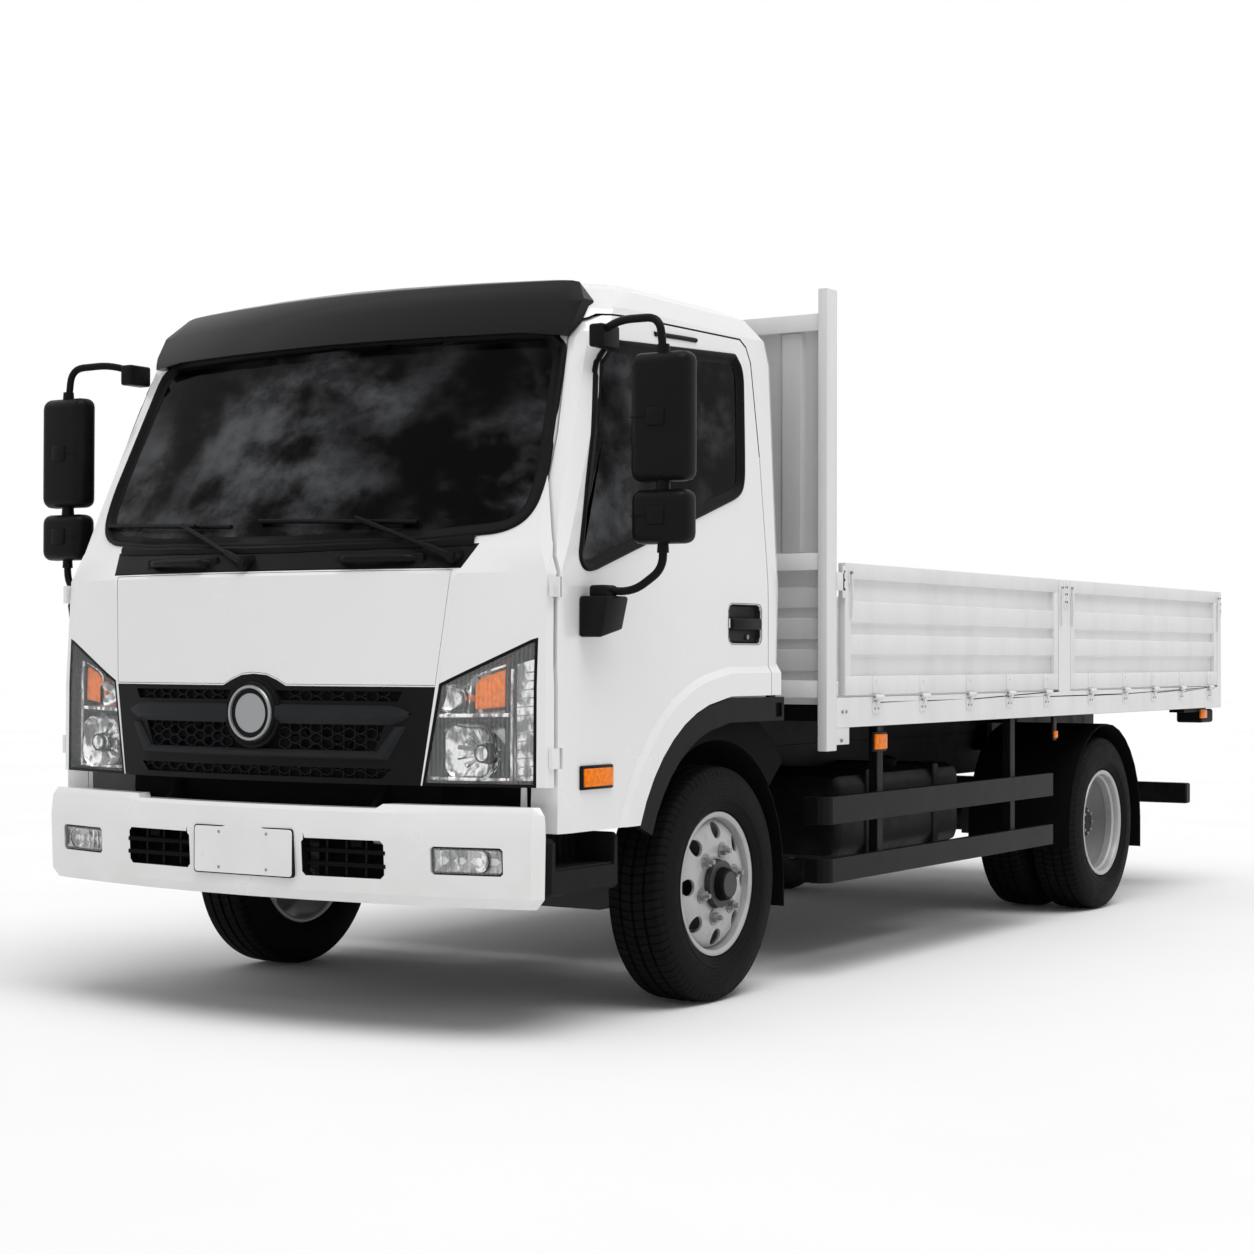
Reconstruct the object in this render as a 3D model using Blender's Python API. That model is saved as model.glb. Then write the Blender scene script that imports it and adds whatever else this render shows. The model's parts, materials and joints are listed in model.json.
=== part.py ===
# Light flatbed truck with a tilting cab, drop sides and twin rear wheels
# Metres. +Z is up and the nose points to -Y, so +X is the truck's left side.
# Y is measured rearwards from the front axle; one empty carries the whole truck
# and puts the middle of its length over the origin, with the tyres on Z = 0.

import math

import bmesh
import bpy
from mathutils import Matrix, Vector

# Whole truck
wheelbase = 3.40
nose_reach = 1.23
tail_reach = 1.53
seat_gap = 0.0003
moving_gap = 0.006
curve_segments = 20
flat_angle = math.radians(0.1)

# Tyres and wheels
tyre_radius = 0.388
tyre_width = 0.225
tyre_segments = 28
bead_radius = 0.2225
rim_width = 0.166
flange_height = 0.013
rim_wall = 0.008
disc_wall = 0.012
hand_hole_radius = 0.021
hand_hole_circle = 0.150
hand_holes = 8
hub_radius = 0.078
front_wheel_x = 0.870
twin_outer_x = 0.905
twin_spacing = 0.250
twin_hub_reach = 0.120
front_disc_offset = 0.080
axle_height = tyre_radius * math.cos(math.pi / tyre_segments)
rear_axle_y = wheelbase

# Steering
kingpin_x = 0.750
kingpin_radius = 0.034
drum_radius = 0.155
drum_width = 0.085

# Chassis frame
rail_outer_x = 0.425
rail_flange = 0.070
rail_wall = 0.008
rail_bottom = 0.600
rail_top = 0.780
rail_front_y = -1.020
rail_rear_y = 4.750
crossmember_radius = 0.035
crossmember_ys = (-0.92, 0.76, 1.55, 2.62, 4.20)
end_member_depth = 0.060

# Cab tilt hinge and rear cab mounts
tilt_pivot_y = -1.120
tilt_pivot_z = 0.600
tilt_pin_radius = 0.015
tilt_eye_radius = 0.034
tilt_arm_x = 0.4353
tilt_arm_width = 0.020
ear_width = 0.020
ear_front_y = -1.154
mount_post_y = 0.245
mount_post_size = 0.070

# Cab
cab_wall = 0.050
cab_floor_bottom = 1.005
cab_floor_top = 1.040
cab_skirt_bottom = 0.610
nose_bottom = 0.745
arch_radius = 0.605
arch_top = 1.000
arch_angles = (158.5, 96.0)
arch_points = 9
flare_height = 0.013
flare_reach = 0.145
flare_slope = 0.070
flare_end_y = 0.340
front_skin = 0.022
glass_inset = 0.010
glass_wall = 0.005
panel_gap = 0.003

# Cab plan sections, from the skirts to the crown of the roof. Columns: height,
# nose (Y on the centre line), bow (how far the nose curves back to the corner),
# half width, corner across, corner along, back (Y of the rear wall), and crown
# (share of a wall's thickness that points up)
cab_sections = (
    (0.610, -1.180, 0.155, 1.000, 0.060, 0.090, 0.380, 0.0),
    (0.745, -1.183, 0.155, 1.000, 0.060, 0.090, 0.380, 0.0),
    (1.040, -1.182, 0.155, 1.000, 0.060, 0.090, 0.380, 0.0),
    (1.372, -1.155, 0.140, 1.000, 0.075, 0.100, 0.392, 0.0),
    (1.470, -1.090, 0.125, 0.995, 0.085, 0.105, 0.390, 0.0),
    (1.800, -0.945, 0.120, 0.975, 0.100, 0.120, 0.400, 0.0),
    (2.120, -0.800, 0.110, 0.950, 0.120, 0.140, 0.420, 0.1),
    (2.205, -0.750, 0.105, 0.935, 0.150, 0.150, 0.410, 0.4),
    (2.270, -0.690, 0.100, 0.895, 0.180, 0.180, 0.350, 0.7),
    (2.305, -0.610, 0.090, 0.820, 0.200, 0.200, 0.250, 0.95),
    (2.325, -0.420, 0.070, 0.620, 0.200, 0.200, 0.050, 1.0),
)
bow_points = 4
corner_points = 3
back_corner = 0.060

# Doors: outline and window in side view (Y, height), without the arch
door_front_gap = 0.010
door_gap = 0.006
door_front = ((-0.983, cab_skirt_bottom), (-0.983, 1.100), (-0.976, 1.300),
              (-0.960, 1.420), (-0.868, 1.680), (-0.735, 2.000), (-0.692, 2.100),
              (-0.660, 2.150), (-0.610, 2.175))
door_rear = ((0.180, 2.188), (0.215, 2.165), (0.232, 2.110), (0.252, 1.764),
             (0.269, 1.300), (0.269, arch_top))
door_window = ((-0.876, 1.415), (-0.840, 1.384), (0.090, 1.665), (0.125, 1.700),
               (0.165, 2.080), (0.125, 2.122), (-0.625, 2.082), (-0.676, 2.020),
               (-0.790, 1.680))
# Inner limit of a door in front view (X, height)
door_zone = ((0.892, 0.2), (0.892, 1.560), (0.878, 1.800), (0.828, 2.120), (0.760, 3.0))
door_hinge_x = 0.984
door_hinge_y = -0.976
door_hinge_radius = 0.008
door_hinge_zs = (0.800, 1.300)
door_hinge_length = 0.060
door_stop_top = 1.850
# Floor cut away for the sweep of a door's inner front corner: X, Y
door_sweep = ((0.884, 0.970), (-0.990, -0.878))

# Windscreen, front lid, cowl, lamp and grille outlines in front view (X, height),
# right-hand half only; each is mirrored about the centre
windscreen_half = ((0.0, 1.470), (0.55, 1.478), (0.800, 1.500), (0.862, 1.550),
                   (0.872, 1.660), (0.822, 2.070), (0.765, 2.120), (0.0, 2.130))
cowl_half = ((0.700, 1.387), (0.730, 1.462), (0.55, 1.458), (0.0, 1.450))
lid_half = ((0.0, 1.076), (0.050, 1.072), (0.092, 1.056), (0.124, 1.040), (0.640, 1.040),
            (0.675, 1.383))
outline_foot = nose_bottom - 0.040
grille_half = ((0.589, outline_foot), (0.640, 1.036),
               (0.126, 1.036), (0.094, 1.052), (0.051, 1.068), (0.0, 1.072))
lamp_outline = ((0.593, outline_foot), (0.945, outline_foot), (0.945, 1.182),
                (0.925, 1.176), (0.652, 1.046))
lamp_depth = 0.110
lamp_back_y = -1.000
grille_depth = 0.045

# Bumper
bumper_bottom = 0.394
bumper_top = 0.690
bumper_wall = 0.035
bumper_end_y = 0.185 - nose_reach
bumper_lip = 0.048
# Columns: height, nose, bow, half width, corner across, corner along, back, crown
bumper_sections = (
    (0.394, 0.035 - nose_reach, 0.125, 0.985, 0.070, 0.080, -0.60, 0.0),
    (0.425, 0.012 - nose_reach, 0.130, 0.998, 0.070, 0.085, -0.60, 0.0),
    (0.600, -nose_reach, 0.135, 1.000, 0.070, 0.090, -0.60, 0.0),
    (0.665, 0.008 - nose_reach, 0.135, 1.000, 0.070, 0.090, -0.60, 0.0),
    (0.690, 0.027 - nose_reach, 0.130, 0.992, 0.070, 0.085, -0.60, 0.0),
)
bumper_notch = ((-0.505, 0.700), (-0.475, 0.677), (0.475, 0.677), (0.505, 0.700))
bumper_duct = (0.225, 0.510, 0.470, 0.583)
bumper_lamp = (0.660, 0.882, 0.490, 0.572)
bumper_lamp_inset = 0.012
bumper_slat = 0.012

# Load bed
bed_half_width = 1.061
bed_front_y = 0.660
side_rail_bottom = 0.880
deck_top = 0.985
deck_plate = 0.025
side_rail_wall = 0.060
bearer_width = 0.050
bearer_height = 0.060
bearers = 7
sill_x = 0.390
sill_width = 0.070
board_bottom = 0.992
board_top = 1.460
board_wall = 0.030
rib_depth = 0.008
post_wall = 0.046
middle_post_y = (2.730, 2.860)
rear_post_y = 4.855
board_front_y = 0.725
hinge_radius = 0.009
hinge_offset = 0.0105
hinge_z = 0.983
hinge_length = 0.040
hinge_leaf = 0.005
front_board_hinges = (0.961, 1.359, 1.786, 2.181, 2.578)
rear_board_hinges = (3.089, 3.519, 3.903, 4.291, 4.711)
tail_hinges = (-0.80, -0.40, 0.0, 0.40, 0.80)
tail_face_y = wheelbase + tail_reach - hinge_radius - hinge_offset

# Headboard
headboard_post_y = (0.510, bed_front_y - seat_gap)
headboard_post_width = 0.075
headboard_bottom = 0.800
headboard_top = 2.410
headboard_rail_top = 2.325
headboard_rail = 0.060
headboard_middle = 1.430

# Door handle: pocket in side view (Y low, high, height low, high), its depth and paddle
handle_pocket = (0.004, 0.222, 1.171, 1.300)
handle_depth = 0.024
handle_paddle = (1.222, 1.252)

# Grille: slots in front view (half width bottom, half width top, low, high), their
# depth, and the honeycomb's pitch
grille_slots = ((0.470, 0.500, 0.762, 0.792), (0.440, 0.480, 0.832, 0.924),
                (0.520, 0.535, 0.992, 1.022))
grille_slot_depth = 0.016
cell_width = 0.062
cell_height = 0.040
cell_rows = 2
cell_depth = 0.010
emblem_z = 0.952
emblem_boss_radius = 0.117
emblem_disc_radius = 0.088

# Arch trim
trim_width = 0.080
trim_x = (0.985, 1.007)
trim_end_y = 0.372
trim_pocket = (0.312, 0.356, 0.925, 0.972)

# Side guards: their outer and inner face, struts, and rails (low, high)
guard_outer_x = bed_half_width - 0.026
guard_inner_x = bed_half_width - 0.056
guard_front_y = 0.640
guard_bend = 0.040
guard_struts = (1.110, 2.350)
guard_rails = ((0.335, 0.420), (0.540, 0.637))

# Mudguards
front_guard_radius = 0.470
front_guard_rim = 0.598
rear_guard_radius = 0.440
rear_guard_x = (0.545, bed_half_width - 0.041)
guard_wall = 0.005

# Collections, materials and small makers


def wipe_scene():
    for thing in list(bpy.data.objects):
        bpy.data.objects.remove(thing, do_unlink=True)


def new_collection(name):
    collection = bpy.data.collections.new(name)
    bpy.context.scene.collection.children.link(collection)
    return collection


def finish(name, colour, roughness, metallic=0.0):
    material = bpy.data.materials.new(name)
    material.use_nodes = True
    shader = material.node_tree.nodes["Principled BSDF"]
    shader.inputs["Base Color"].default_value = (*colour, 1.0)
    shader.inputs["Roughness"].default_value = roughness
    shader.inputs["Metallic"].default_value = metallic
    return material


def mesh_object(name, bm):
    bmesh.ops.recalc_face_normals(bm, faces=bm.faces[:])
    mesh = bpy.data.meshes.new(name)
    bm.to_mesh(mesh)
    bm.free()
    thing = bpy.data.objects.new(name, mesh)
    truck.objects.link(thing)
    return thing


def block(x, y, z, round_edges=0.0, steps=1):
    """A box between three (low, high) pairs, its edges rounded if asked."""
    bm = bmesh.new()
    bmesh.ops.create_cube(bm, size=1.0)
    size = [high - low for low, high in (x, y, z)]
    centre = [(high + low) / 2 for low, high in (x, y, z)]
    bmesh.ops.scale(bm, vec=size, verts=bm.verts[:])
    bmesh.ops.translate(bm, vec=centre, verts=bm.verts[:])
    if round_edges:
        bmesh.ops.bevel(bm, geom=bm.edges[:], offset=round_edges, segments=steps,
                        affect="EDGES", profile=0.5, material=-1)
    return mesh_object("block", bm)


def rod(start, end, radius, segments=16, end_radius=None):
    """A round bar or cone between two points."""
    start, end = Vector(start), Vector(end)
    bm = bmesh.new()
    bmesh.ops.create_cone(bm, cap_ends=True, segments=segments, radius1=radius,
                          radius2=radius if end_radius is None else end_radius,
                          depth=(end - start).length)
    turn = Vector((0, 0, 1)).rotation_difference(end - start).to_matrix().to_4x4()
    bmesh.ops.transform(bm, matrix=Matrix.Translation((start + end) / 2) @ turn,
                        verts=bm.verts[:])
    return mesh_object("rod", bm)


AXIS_TURNS = {
    "X": Matrix(((0, 0, 1, 0), (1, 0, 0, 0), (0, 1, 0, 0), (0, 0, 0, 1))),
    "Y": Matrix(((1, 0, 0, 0), (0, 0, -1, 0), (0, 1, 0, 0), (0, 0, 0, 1))),
    "Z": Matrix.Identity(4),
}


def to_mesh_object(thing):
    """Turns a curve, or an object with modifiers, into a plain mesh object."""
    bpy.context.view_layer.update()
    graph = bpy.context.evaluated_depsgraph_get()
    mesh = bpy.data.meshes.new_from_object(thing.evaluated_get(graph))
    bm = bmesh.new()
    bm.from_mesh(mesh)
    bmesh.ops.remove_doubles(bm, verts=bm.verts[:], dist=0.00005)
    bmesh.ops.transform(bm, matrix=thing.matrix_world, verts=bm.verts[:])
    bpy.data.objects.remove(thing, do_unlink=True)
    bpy.data.meshes.remove(mesh)
    return mesh_object("piece", bm)


def prism(outline, axis, low, high):
    """A flat outline extruded along an axis. The outline's pair of numbers is
    (Y, Z) for axis X, (X, Z) for axis Y and (X, Y) for axis Z."""
    curve = bpy.data.curves.new("outline", "CURVE")
    curve.dimensions = "2D"
    curve.fill_mode = "BOTH"
    curve.extrude = (high - low) / 2
    spline = curve.splines.new("POLY")
    spline.points.add(len(outline) - 1)
    for point, (u, v) in zip(spline.points, outline):
        point.co = (u, v, 0.0, 1.0)
    spline.use_cyclic_u = True
    thing = bpy.data.objects.new("outline", curve)
    truck.objects.link(thing)
    middle = (low + high) / 2
    offset = {"X": (middle, 0, 0), "Y": (0, middle, 0), "Z": (0, 0, middle)}[axis]
    thing.matrix_world = Matrix.Translation(offset) @ AXIS_TURNS[axis]
    return to_mesh_object(thing)


def tapered(outline, shrink, axis, low, high):
    """Like a prism, but its outline at the high end is smaller by shrink."""
    way = -1 if axis == "Y" else 1
    bm = bmesh.new()
    rings = []
    for level, points in ((low, outline), (high, grown(outline, -shrink))):
        verts = [bm.verts.new((u, v, way * level)) for u, v in points]
        rings += [bm.edges.new(pair) for pair in zip(verts, verts[1:] + verts[:1])]
    bmesh.ops.bridge_loops(bm, edges=rings)
    bmesh.ops.holes_fill(bm, edges=bm.edges[:], sides=0)
    bmesh.ops.transform(bm, matrix=AXIS_TURNS[axis], verts=bm.verts[:])
    return mesh_object("tapered", bm)


def tube(points, radius, resolution=1):
    """A bent bar along straight runs, rounded a little at each bend."""
    curve = bpy.data.curves.new("tube", "CURVE")
    curve.dimensions = "3D"
    curve.bevel_depth = radius
    curve.bevel_resolution = resolution
    curve.use_fill_caps = True
    spline = curve.splines.new("POLY")
    smooth = rounded_path([Vector(point) for point in points], 2.5 * radius)
    spline.points.add(len(smooth) - 1)
    for point, place in zip(spline.points, smooth):
        point.co = (*place, 1.0)
    thing = bpy.data.objects.new("tube", curve)
    truck.objects.link(thing)
    return to_mesh_object(thing)


def rounded_path(corners, cut):
    path = [corners[0]]
    for before, corner, after in zip(corners, corners[1:], corners[2:]):
        reach = min(cut, (corner - before).length / 2.1, (after - corner).length / 2.1)
        enter = corner + (before - corner).normalized() * reach
        leave = corner + (after - corner).normalized() * reach
        for step in range(4):
            t = step / 3
            path.append(enter.lerp(corner, t).lerp(corner.lerp(leave, t), t))
    path.append(corners[-1])
    return path


def turned(profile, centre, segments):
    """A profile of (X, radius) pairs turned about the X axis. It closes on itself,
    unless it starts and ends on the axis."""
    bm = bmesh.new()
    verts = [bm.verts.new((x, 0.0, radius)) for x, radius in profile]
    edges = [bm.edges.new((a, b)) for a, b in zip(verts, verts[1:])]
    if profile[0][1] > 0:
        edges.append(bm.edges.new((verts[-1], verts[0])))
    half_step = Matrix.Rotation(math.pi / segments, 3, "X")
    bmesh.ops.rotate(bm, cent=(0, 0, 0), matrix=half_step, verts=verts)
    bmesh.ops.spin(bm, geom=verts + edges, cent=(0, 0, 0), axis=(1, 0, 0),
                   angle=2 * math.pi, steps=segments, use_merge=True)
    bmesh.ops.remove_doubles(bm, verts=bm.verts[:], dist=0.00005)
    bmesh.ops.translate(bm, vec=centre, verts=bm.verts[:])
    return mesh_object("turned", bm)


def combine(target, others, operation, solver="EXACT"):
    for other in others:
        change = target.modifiers.new("change", "BOOLEAN")
        change.operation = operation
        change.solver = solver
        change.object = other
        bpy.context.view_layer.update()
        graph = bpy.context.evaluated_depsgraph_get()
        mesh = bpy.data.meshes.new_from_object(target.evaluated_get(graph))
        target.modifiers.clear()
        target.data = mesh
        bpy.data.objects.remove(other, do_unlink=True)
    return target


def join(target, *others, solver="EXACT"):
    return combine(target, others, "UNION", solver)


def cut(target, *others):
    return combine(target, others, "DIFFERENCE")


def overlap(target, *others):
    return combine(target, others, "INTERSECT")


def copy_of(thing):
    twin = thing.copy()
    twin.data = thing.data.copy()
    truck.objects.link(twin)
    return twin


def mirrored(thing):
    """A copy on the other side of the centre plane."""
    twin = copy_of(thing)
    bm = bmesh.new()
    bm.from_mesh(twin.data)
    bmesh.ops.scale(bm, vec=(-1, 1, 1), verts=bm.verts[:])
    bmesh.ops.reverse_faces(bm, faces=bm.faces[:])
    bm.to_mesh(twin.data)
    bm.free()
    return twin


def both_sides(thing):
    return join(thing, mirrored(thing))


def pivot(name, place, parent):
    """An empty on a joint's axis; place is measured from the front axle."""
    empty = bpy.data.objects.new(name, None)
    truck.objects.link(empty)
    empty.parent = parent
    parent_place = Vector(parent["place"]) if parent else Vector((0, 0, 0))
    empty.location = Vector(place) - parent_place
    empty["place"] = list(place)
    return empty


def name_piece(thing, name, material, carrier):
    """Names a finished piece and hangs it on its carrier's axis."""
    bm = bmesh.new()
    bm.from_mesh(thing.data)
    bmesh.ops.remove_doubles(bm, verts=bm.verts[:], dist=0.00002)
    bmesh.ops.dissolve_degenerate(bm, edges=bm.edges[:], dist=0.00002)
    bmesh.ops.dissolve_limit(bm, angle_limit=flat_angle, verts=bm.verts[:], edges=bm.edges[:])
    bmesh.ops.translate(bm, vec=-Vector(carrier["place"]), verts=bm.verts[:])
    bm.to_mesh(thing.data)
    bm.free()
    thing.name = name
    thing.data.name = name
    thing.data.materials.clear()
    thing.data.materials.append(material)
    thing.data.shade_smooth()
    thing.data.set_sharp_from_angle(angle=math.radians(35))
    thing.parent = carrier
    return thing


def arc(centre, radius, start, end, points):
    """Points on an arc, angles in degrees from the first axis."""
    angles = [math.radians(start + (end - start) * n / (points - 1)) for n in range(points)]
    return [(centre[0] + radius * math.cos(a), centre[1] + radius * math.sin(a))
            for a in angles]


def rounded_box(low_u, high_u, low_v, high_v, radius):
    """Outline of a rectangle with rounded corners."""
    corners = ((high_u - radius, high_v - radius, 0), (low_u + radius, high_v - radius, 90),
               (low_u + radius, low_v + radius, 180), (high_u - radius, low_v + radius, 270))
    return [point for u, v, turn in corners for point in arc((u, v), radius, turn, turn + 90, 3)]


def full_outline(half):
    """Closes a half outline, given bottom to top, with its mirror image."""
    return list(half) + [(-x, z) for x, z in reversed(half) if x > 0]


def grown(outline, amount):
    """Moves every side of an outline outwards by an amount."""
    area = sum(a[0] * b[1] - b[0] * a[1]
               for a, b in zip(outline, outline[1:] + outline[:1]))
    way = 1.0 if area > 0 else -1.0
    result = []
    count = len(outline)
    for index in range(count):
        before = Vector(outline[index - 1])
        here = Vector(outline[index])
        after = Vector(outline[(index + 1) % count])
        into, out = (here - before).normalized(), (after - here).normalized()
        normal_in = Vector((into.y, -into.x)) * way
        normal_out = Vector((out.y, -out.x)) * way
        shift = (normal_in + normal_out) / (1.0 + normal_in.dot(normal_out))
        result.append(tuple(here + shift * amount))
    return result


# Body form: a loft of plan sections


def plan_section(nose, bow, half, corner, along, back, inset):
    """One level of the cab or bumper, as points round its plan."""
    nose, half, back = nose + inset, half - inset, back - inset
    corner = max(corner - inset / 2, 0.01)
    along = max(along - inset / 2, 0.01)
    run = half - corner
    points = [(run * n / bow_points, nose + bow * (n / bow_points) ** 2)
              for n in range(bow_points)]
    for n in range(corner_points + 1):
        a = math.pi / 2 * n / corner_points
        points.append((run + corner * math.sin(a), nose + bow + along * (1 - math.cos(a))))
    points.append((half, (nose + back) / 2))
    points.append((half, back - back_corner))
    points.append((half - back_corner * 0.3, back - back_corner * 0.3))
    points.append((half - back_corner, back))
    points.append((0.0, back))
    return points + [(-x, y) for x, y in reversed(points[1:-1])]


def section_loft(sections, inset=0.0, drop=0.0):
    """The solid inside a wall of the given thickness, open-bottomed by drop."""
    bm = bmesh.new()
    rings = []
    for height, nose, bow, half, corner, along, back, crown in sections:
        level = height - inset * crown
        side = inset * math.sqrt(1.0 - crown * crown)
        if not rings:
            level -= drop
        ring = [bm.verts.new((x, y, level)) for x, y in
                plan_section(nose, bow, half, corner, along, back, side)]
        rings.append(ring)
    for low, high in zip(rings, rings[1:]):
        for n in range(len(low)):
            m = (n + 1) % len(low)
            bm.faces.new((low[n], low[m], high[m], high[n]))
    bm.faces.new(rings[0][::-1])
    bm.faces.new(rings[-1])
    bmesh.ops.triangulate(bm, faces=bm.faces[:])
    return mesh_object("loft", bm)


def arch_line(inward):
    """The wheel arch's edge in side view, front to back, moved inwards."""
    return (arc((0.0, axle_height), arch_radius - inward, *arch_angles, arch_points)
            + [(0.0, arch_top - 0.002 - inward), (0.8, arch_top - inward)])


def cab_body():
    """The cab's outer form: the loft with a flare over each wheel arch."""
    outline = arch_line(-flare_reach)
    outline[-1:] = [(0.6, arch_top + flare_reach), (0.6, 0.9)]
    outline += [(0.0, 0.86), (-0.42, 0.5), (-0.75, 0.5)]
    flare = tapered(outline, flare_slope, "X", 0.970, 1.000 + flare_height)
    flare = cut(flare, block((0.9, 1.1), (flare_end_y, 1.0), (0.3, 1.5)),
                block((0.9, 1.1), (-1.0, 0.5), (0.3, cab_skirt_bottom + 0.001)))
    return join(section_loft(cab_sections), mirrored(flare), flare)


def skin_pocket(outline, depth, back=-0.45):
    """What lies in front of the nose's wall at a depth, inside an outline."""
    return cut(prism(outline, "Y", -1.6, back), section_loft(cab_sections, depth, 0.2))


# Wheels


def tyre_profile():
    half = tyre_width / 2
    bead = rim_width / 2 - seat_gap
    seat = bead_radius / math.cos(math.pi / tyre_segments) + seat_gap
    crown = tyre_radius
    side = [(bead, seat), (bead, bead_radius + flange_height + 0.003),
            (half, 0.302), (half * 0.94, 0.362), (half * 0.78, crown)]
    return side + [(-x, r) for x, r in reversed(side)]


def rim_profile(disc_x, dish):
    """Rim barrel with its disc; the disc's inner face stands at disc_x and the
    disc leaves the barrel dish further from the middle."""
    edge = rim_width / 2
    lip = bead_radius + flange_height
    inner = bead_radius - rim_wall
    root = disc_x - dish
    bore = (hub_radius + seat_gap) / math.cos(math.pi / curve_segments)
    return [(-edge - 0.007, lip), (-edge, lip), (-edge, bead_radius),
            (edge, bead_radius), (edge, lip), (edge + 0.007, lip),
            (edge + 0.007, inner), (root + disc_wall, inner),
            (disc_x + disc_wall - dish * 0.45, inner - 0.036),
            (disc_x + disc_wall, 0.128), (disc_x + disc_wall, bore),
            (disc_x, bore), (disc_x, 0.130),
            (disc_x - dish * 0.45, inner - 0.030), (root, inner - 0.002),
            (-edge - 0.007, inner)]


def drill_disc(wheel, centre_x, y, disc_x):
    for hole in range(hand_holes):
        a = 2 * math.pi * hole / hand_holes
        hole_y = y + hand_hole_circle * math.cos(a)
        hole_z = axle_height + hand_hole_circle * math.sin(a)
        cut(wheel, rod((centre_x + disc_x - 0.07, hole_y, hole_z),
                       (centre_x + disc_x + 0.07, hole_y, hole_z), hand_hole_radius, 6))
    return wheel


def make_front_wheels(carriers):
    centre = (front_wheel_x, 0.0, axle_height)
    wheel = turned(rim_profile(front_disc_offset, 0.035), centre, curve_segments)
    wheel = drill_disc(wheel, front_wheel_x, 0.0, front_disc_offset - 0.01)
    tyre = turned(tyre_profile(), centre, tyre_segments)
    for side, carrier in carriers.items():
        place = mirrored if side == "right" else copy_of
        name_piece(place(wheel), "front_wheel_" + side, silver, carrier)
        name_piece(place(tyre), "front_tyre_" + side, rubber, carrier)
    bpy.data.objects.remove(wheel)
    bpy.data.objects.remove(tyre)


def twin_profile():
    """Two rims back to back on one hub, as a profile from the middle of the hub's
    outer end round to its inner end."""
    centre = twin_spacing / 2
    edge = rim_width / 2
    rim_lip = 0.007
    lip = bead_radius + flange_height
    inner = bead_radius - rim_wall
    hub = [(0.150, 0.0), (0.150, hub_radius - 0.030), (0.135, hub_radius - 0.012),
           (0.070, hub_radius - 0.004), (0.060, hub_radius + 0.012),
           (disc_wall, hub_radius + 0.012)]
    disc = [(disc_wall, 0.128), (0.034, inner - 0.024), (0.070, inner)]
    barrel = [(centre + edge + rim_lip, inner), (centre + edge + rim_lip, lip),
              (centre + edge, lip), (centre + edge, bead_radius),
              (centre - edge, bead_radius), (centre - edge, lip),
              (centre - edge - rim_lip, lip), (centre - edge - rim_lip, inner - 0.006),
              (0.006, 0.150)]
    outer_half = hub + disc + barrel
    inner_barrel = [(x, r) for x, r in barrel if x < centre or r != lip]
    inner_hub = [(-twin_hub_reach, r) if x == 0.150 else (-min(x, 0.100), r) for x, r in hub]
    return outer_half + [(-x, r) for x, r in reversed(disc + inner_barrel)] + inner_hub[::-1]


def make_rear_wheels(carriers):
    middle = twin_outer_x - twin_spacing / 2
    wheel = turned(twin_profile(), (middle, rear_axle_y, axle_height), curve_segments)
    wheel = drill_disc(wheel, middle, rear_axle_y, 0.0)
    tyres = [turned(tyre_profile(), (x, rear_axle_y, axle_height), tyre_segments)
             for x in (twin_outer_x, twin_outer_x - twin_spacing)]
    for side, carrier in carriers.items():
        place = mirrored if side == "right" else copy_of
        name_piece(place(wheel), "rear_wheel_" + side, silver, carrier)
        name_piece(place(tyres[0]), "rear_outer_tyre_" + side, rubber, carrier)
        name_piece(place(tyres[1]), "rear_inner_tyre_" + side, rubber, carrier)
    for thing in (wheel, *tyres):
        bpy.data.objects.remove(thing)


# Running gear


def make_knuckles(carriers):
    lug = 0.040
    eye = 0.042
    low, high = axle_height - eye, axle_height + eye
    back = kingpin_x + kingpin_radius + 0.008
    drum_end = back + drum_width
    hub_end = front_wheel_x + front_disc_offset + disc_wall + 0.018
    knuckle = block((back, back + 0.025), (-0.055, 0.055),
                    (low - lug, high + lug))
    for start in (low - lug, high + seat_gap):
        fork = join(rod((kingpin_x, 0, start), (kingpin_x, 0, start + lug - seat_gap),
                        kingpin_radius, 16),
                    block((kingpin_x, back + 0.005), (-0.030, 0.030),
                          (start, start + lug - seat_gap)))
        knuckle = join(knuckle, fork)
    knuckle = join(knuckle,
                   rod((back + 0.010, 0, axle_height), (drum_end, 0, axle_height),
                       drum_radius, curve_segments),
                   rod((drum_end - 0.01, 0, axle_height), (hub_end, 0, axle_height),
                       hub_radius, curve_segments),
                   rod((hub_end - 0.005, 0, axle_height), (hub_end + 0.030, 0, axle_height),
                       0.050, 16, 0.042))
    for side, carrier in carriers.items():
        place = mirrored if side == "right" else copy_of
        name_piece(place(knuckle), "knuckle_" + side, cast_iron, carrier)
    bpy.data.objects.remove(knuckle)


def leaf_spring(axle_y, middle_z, end_z, reach, depth):
    """A tapering leaf pack as one bowed strip under a chassis rail."""
    top, bottom = [], []
    for n in range(9):
        t = 2 * n / 8 - 1
        z = middle_z + (end_z - middle_z) * t * t
        top.append((axle_y + reach * t, z))
        bottom.append((axle_y + reach * t, z - 0.012 - (depth - 0.012) * (1 - abs(t))))
    return prism(top + bottom[::-1], "X", rail_outer_x - 0.065, rail_outer_x - 0.005)


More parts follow.
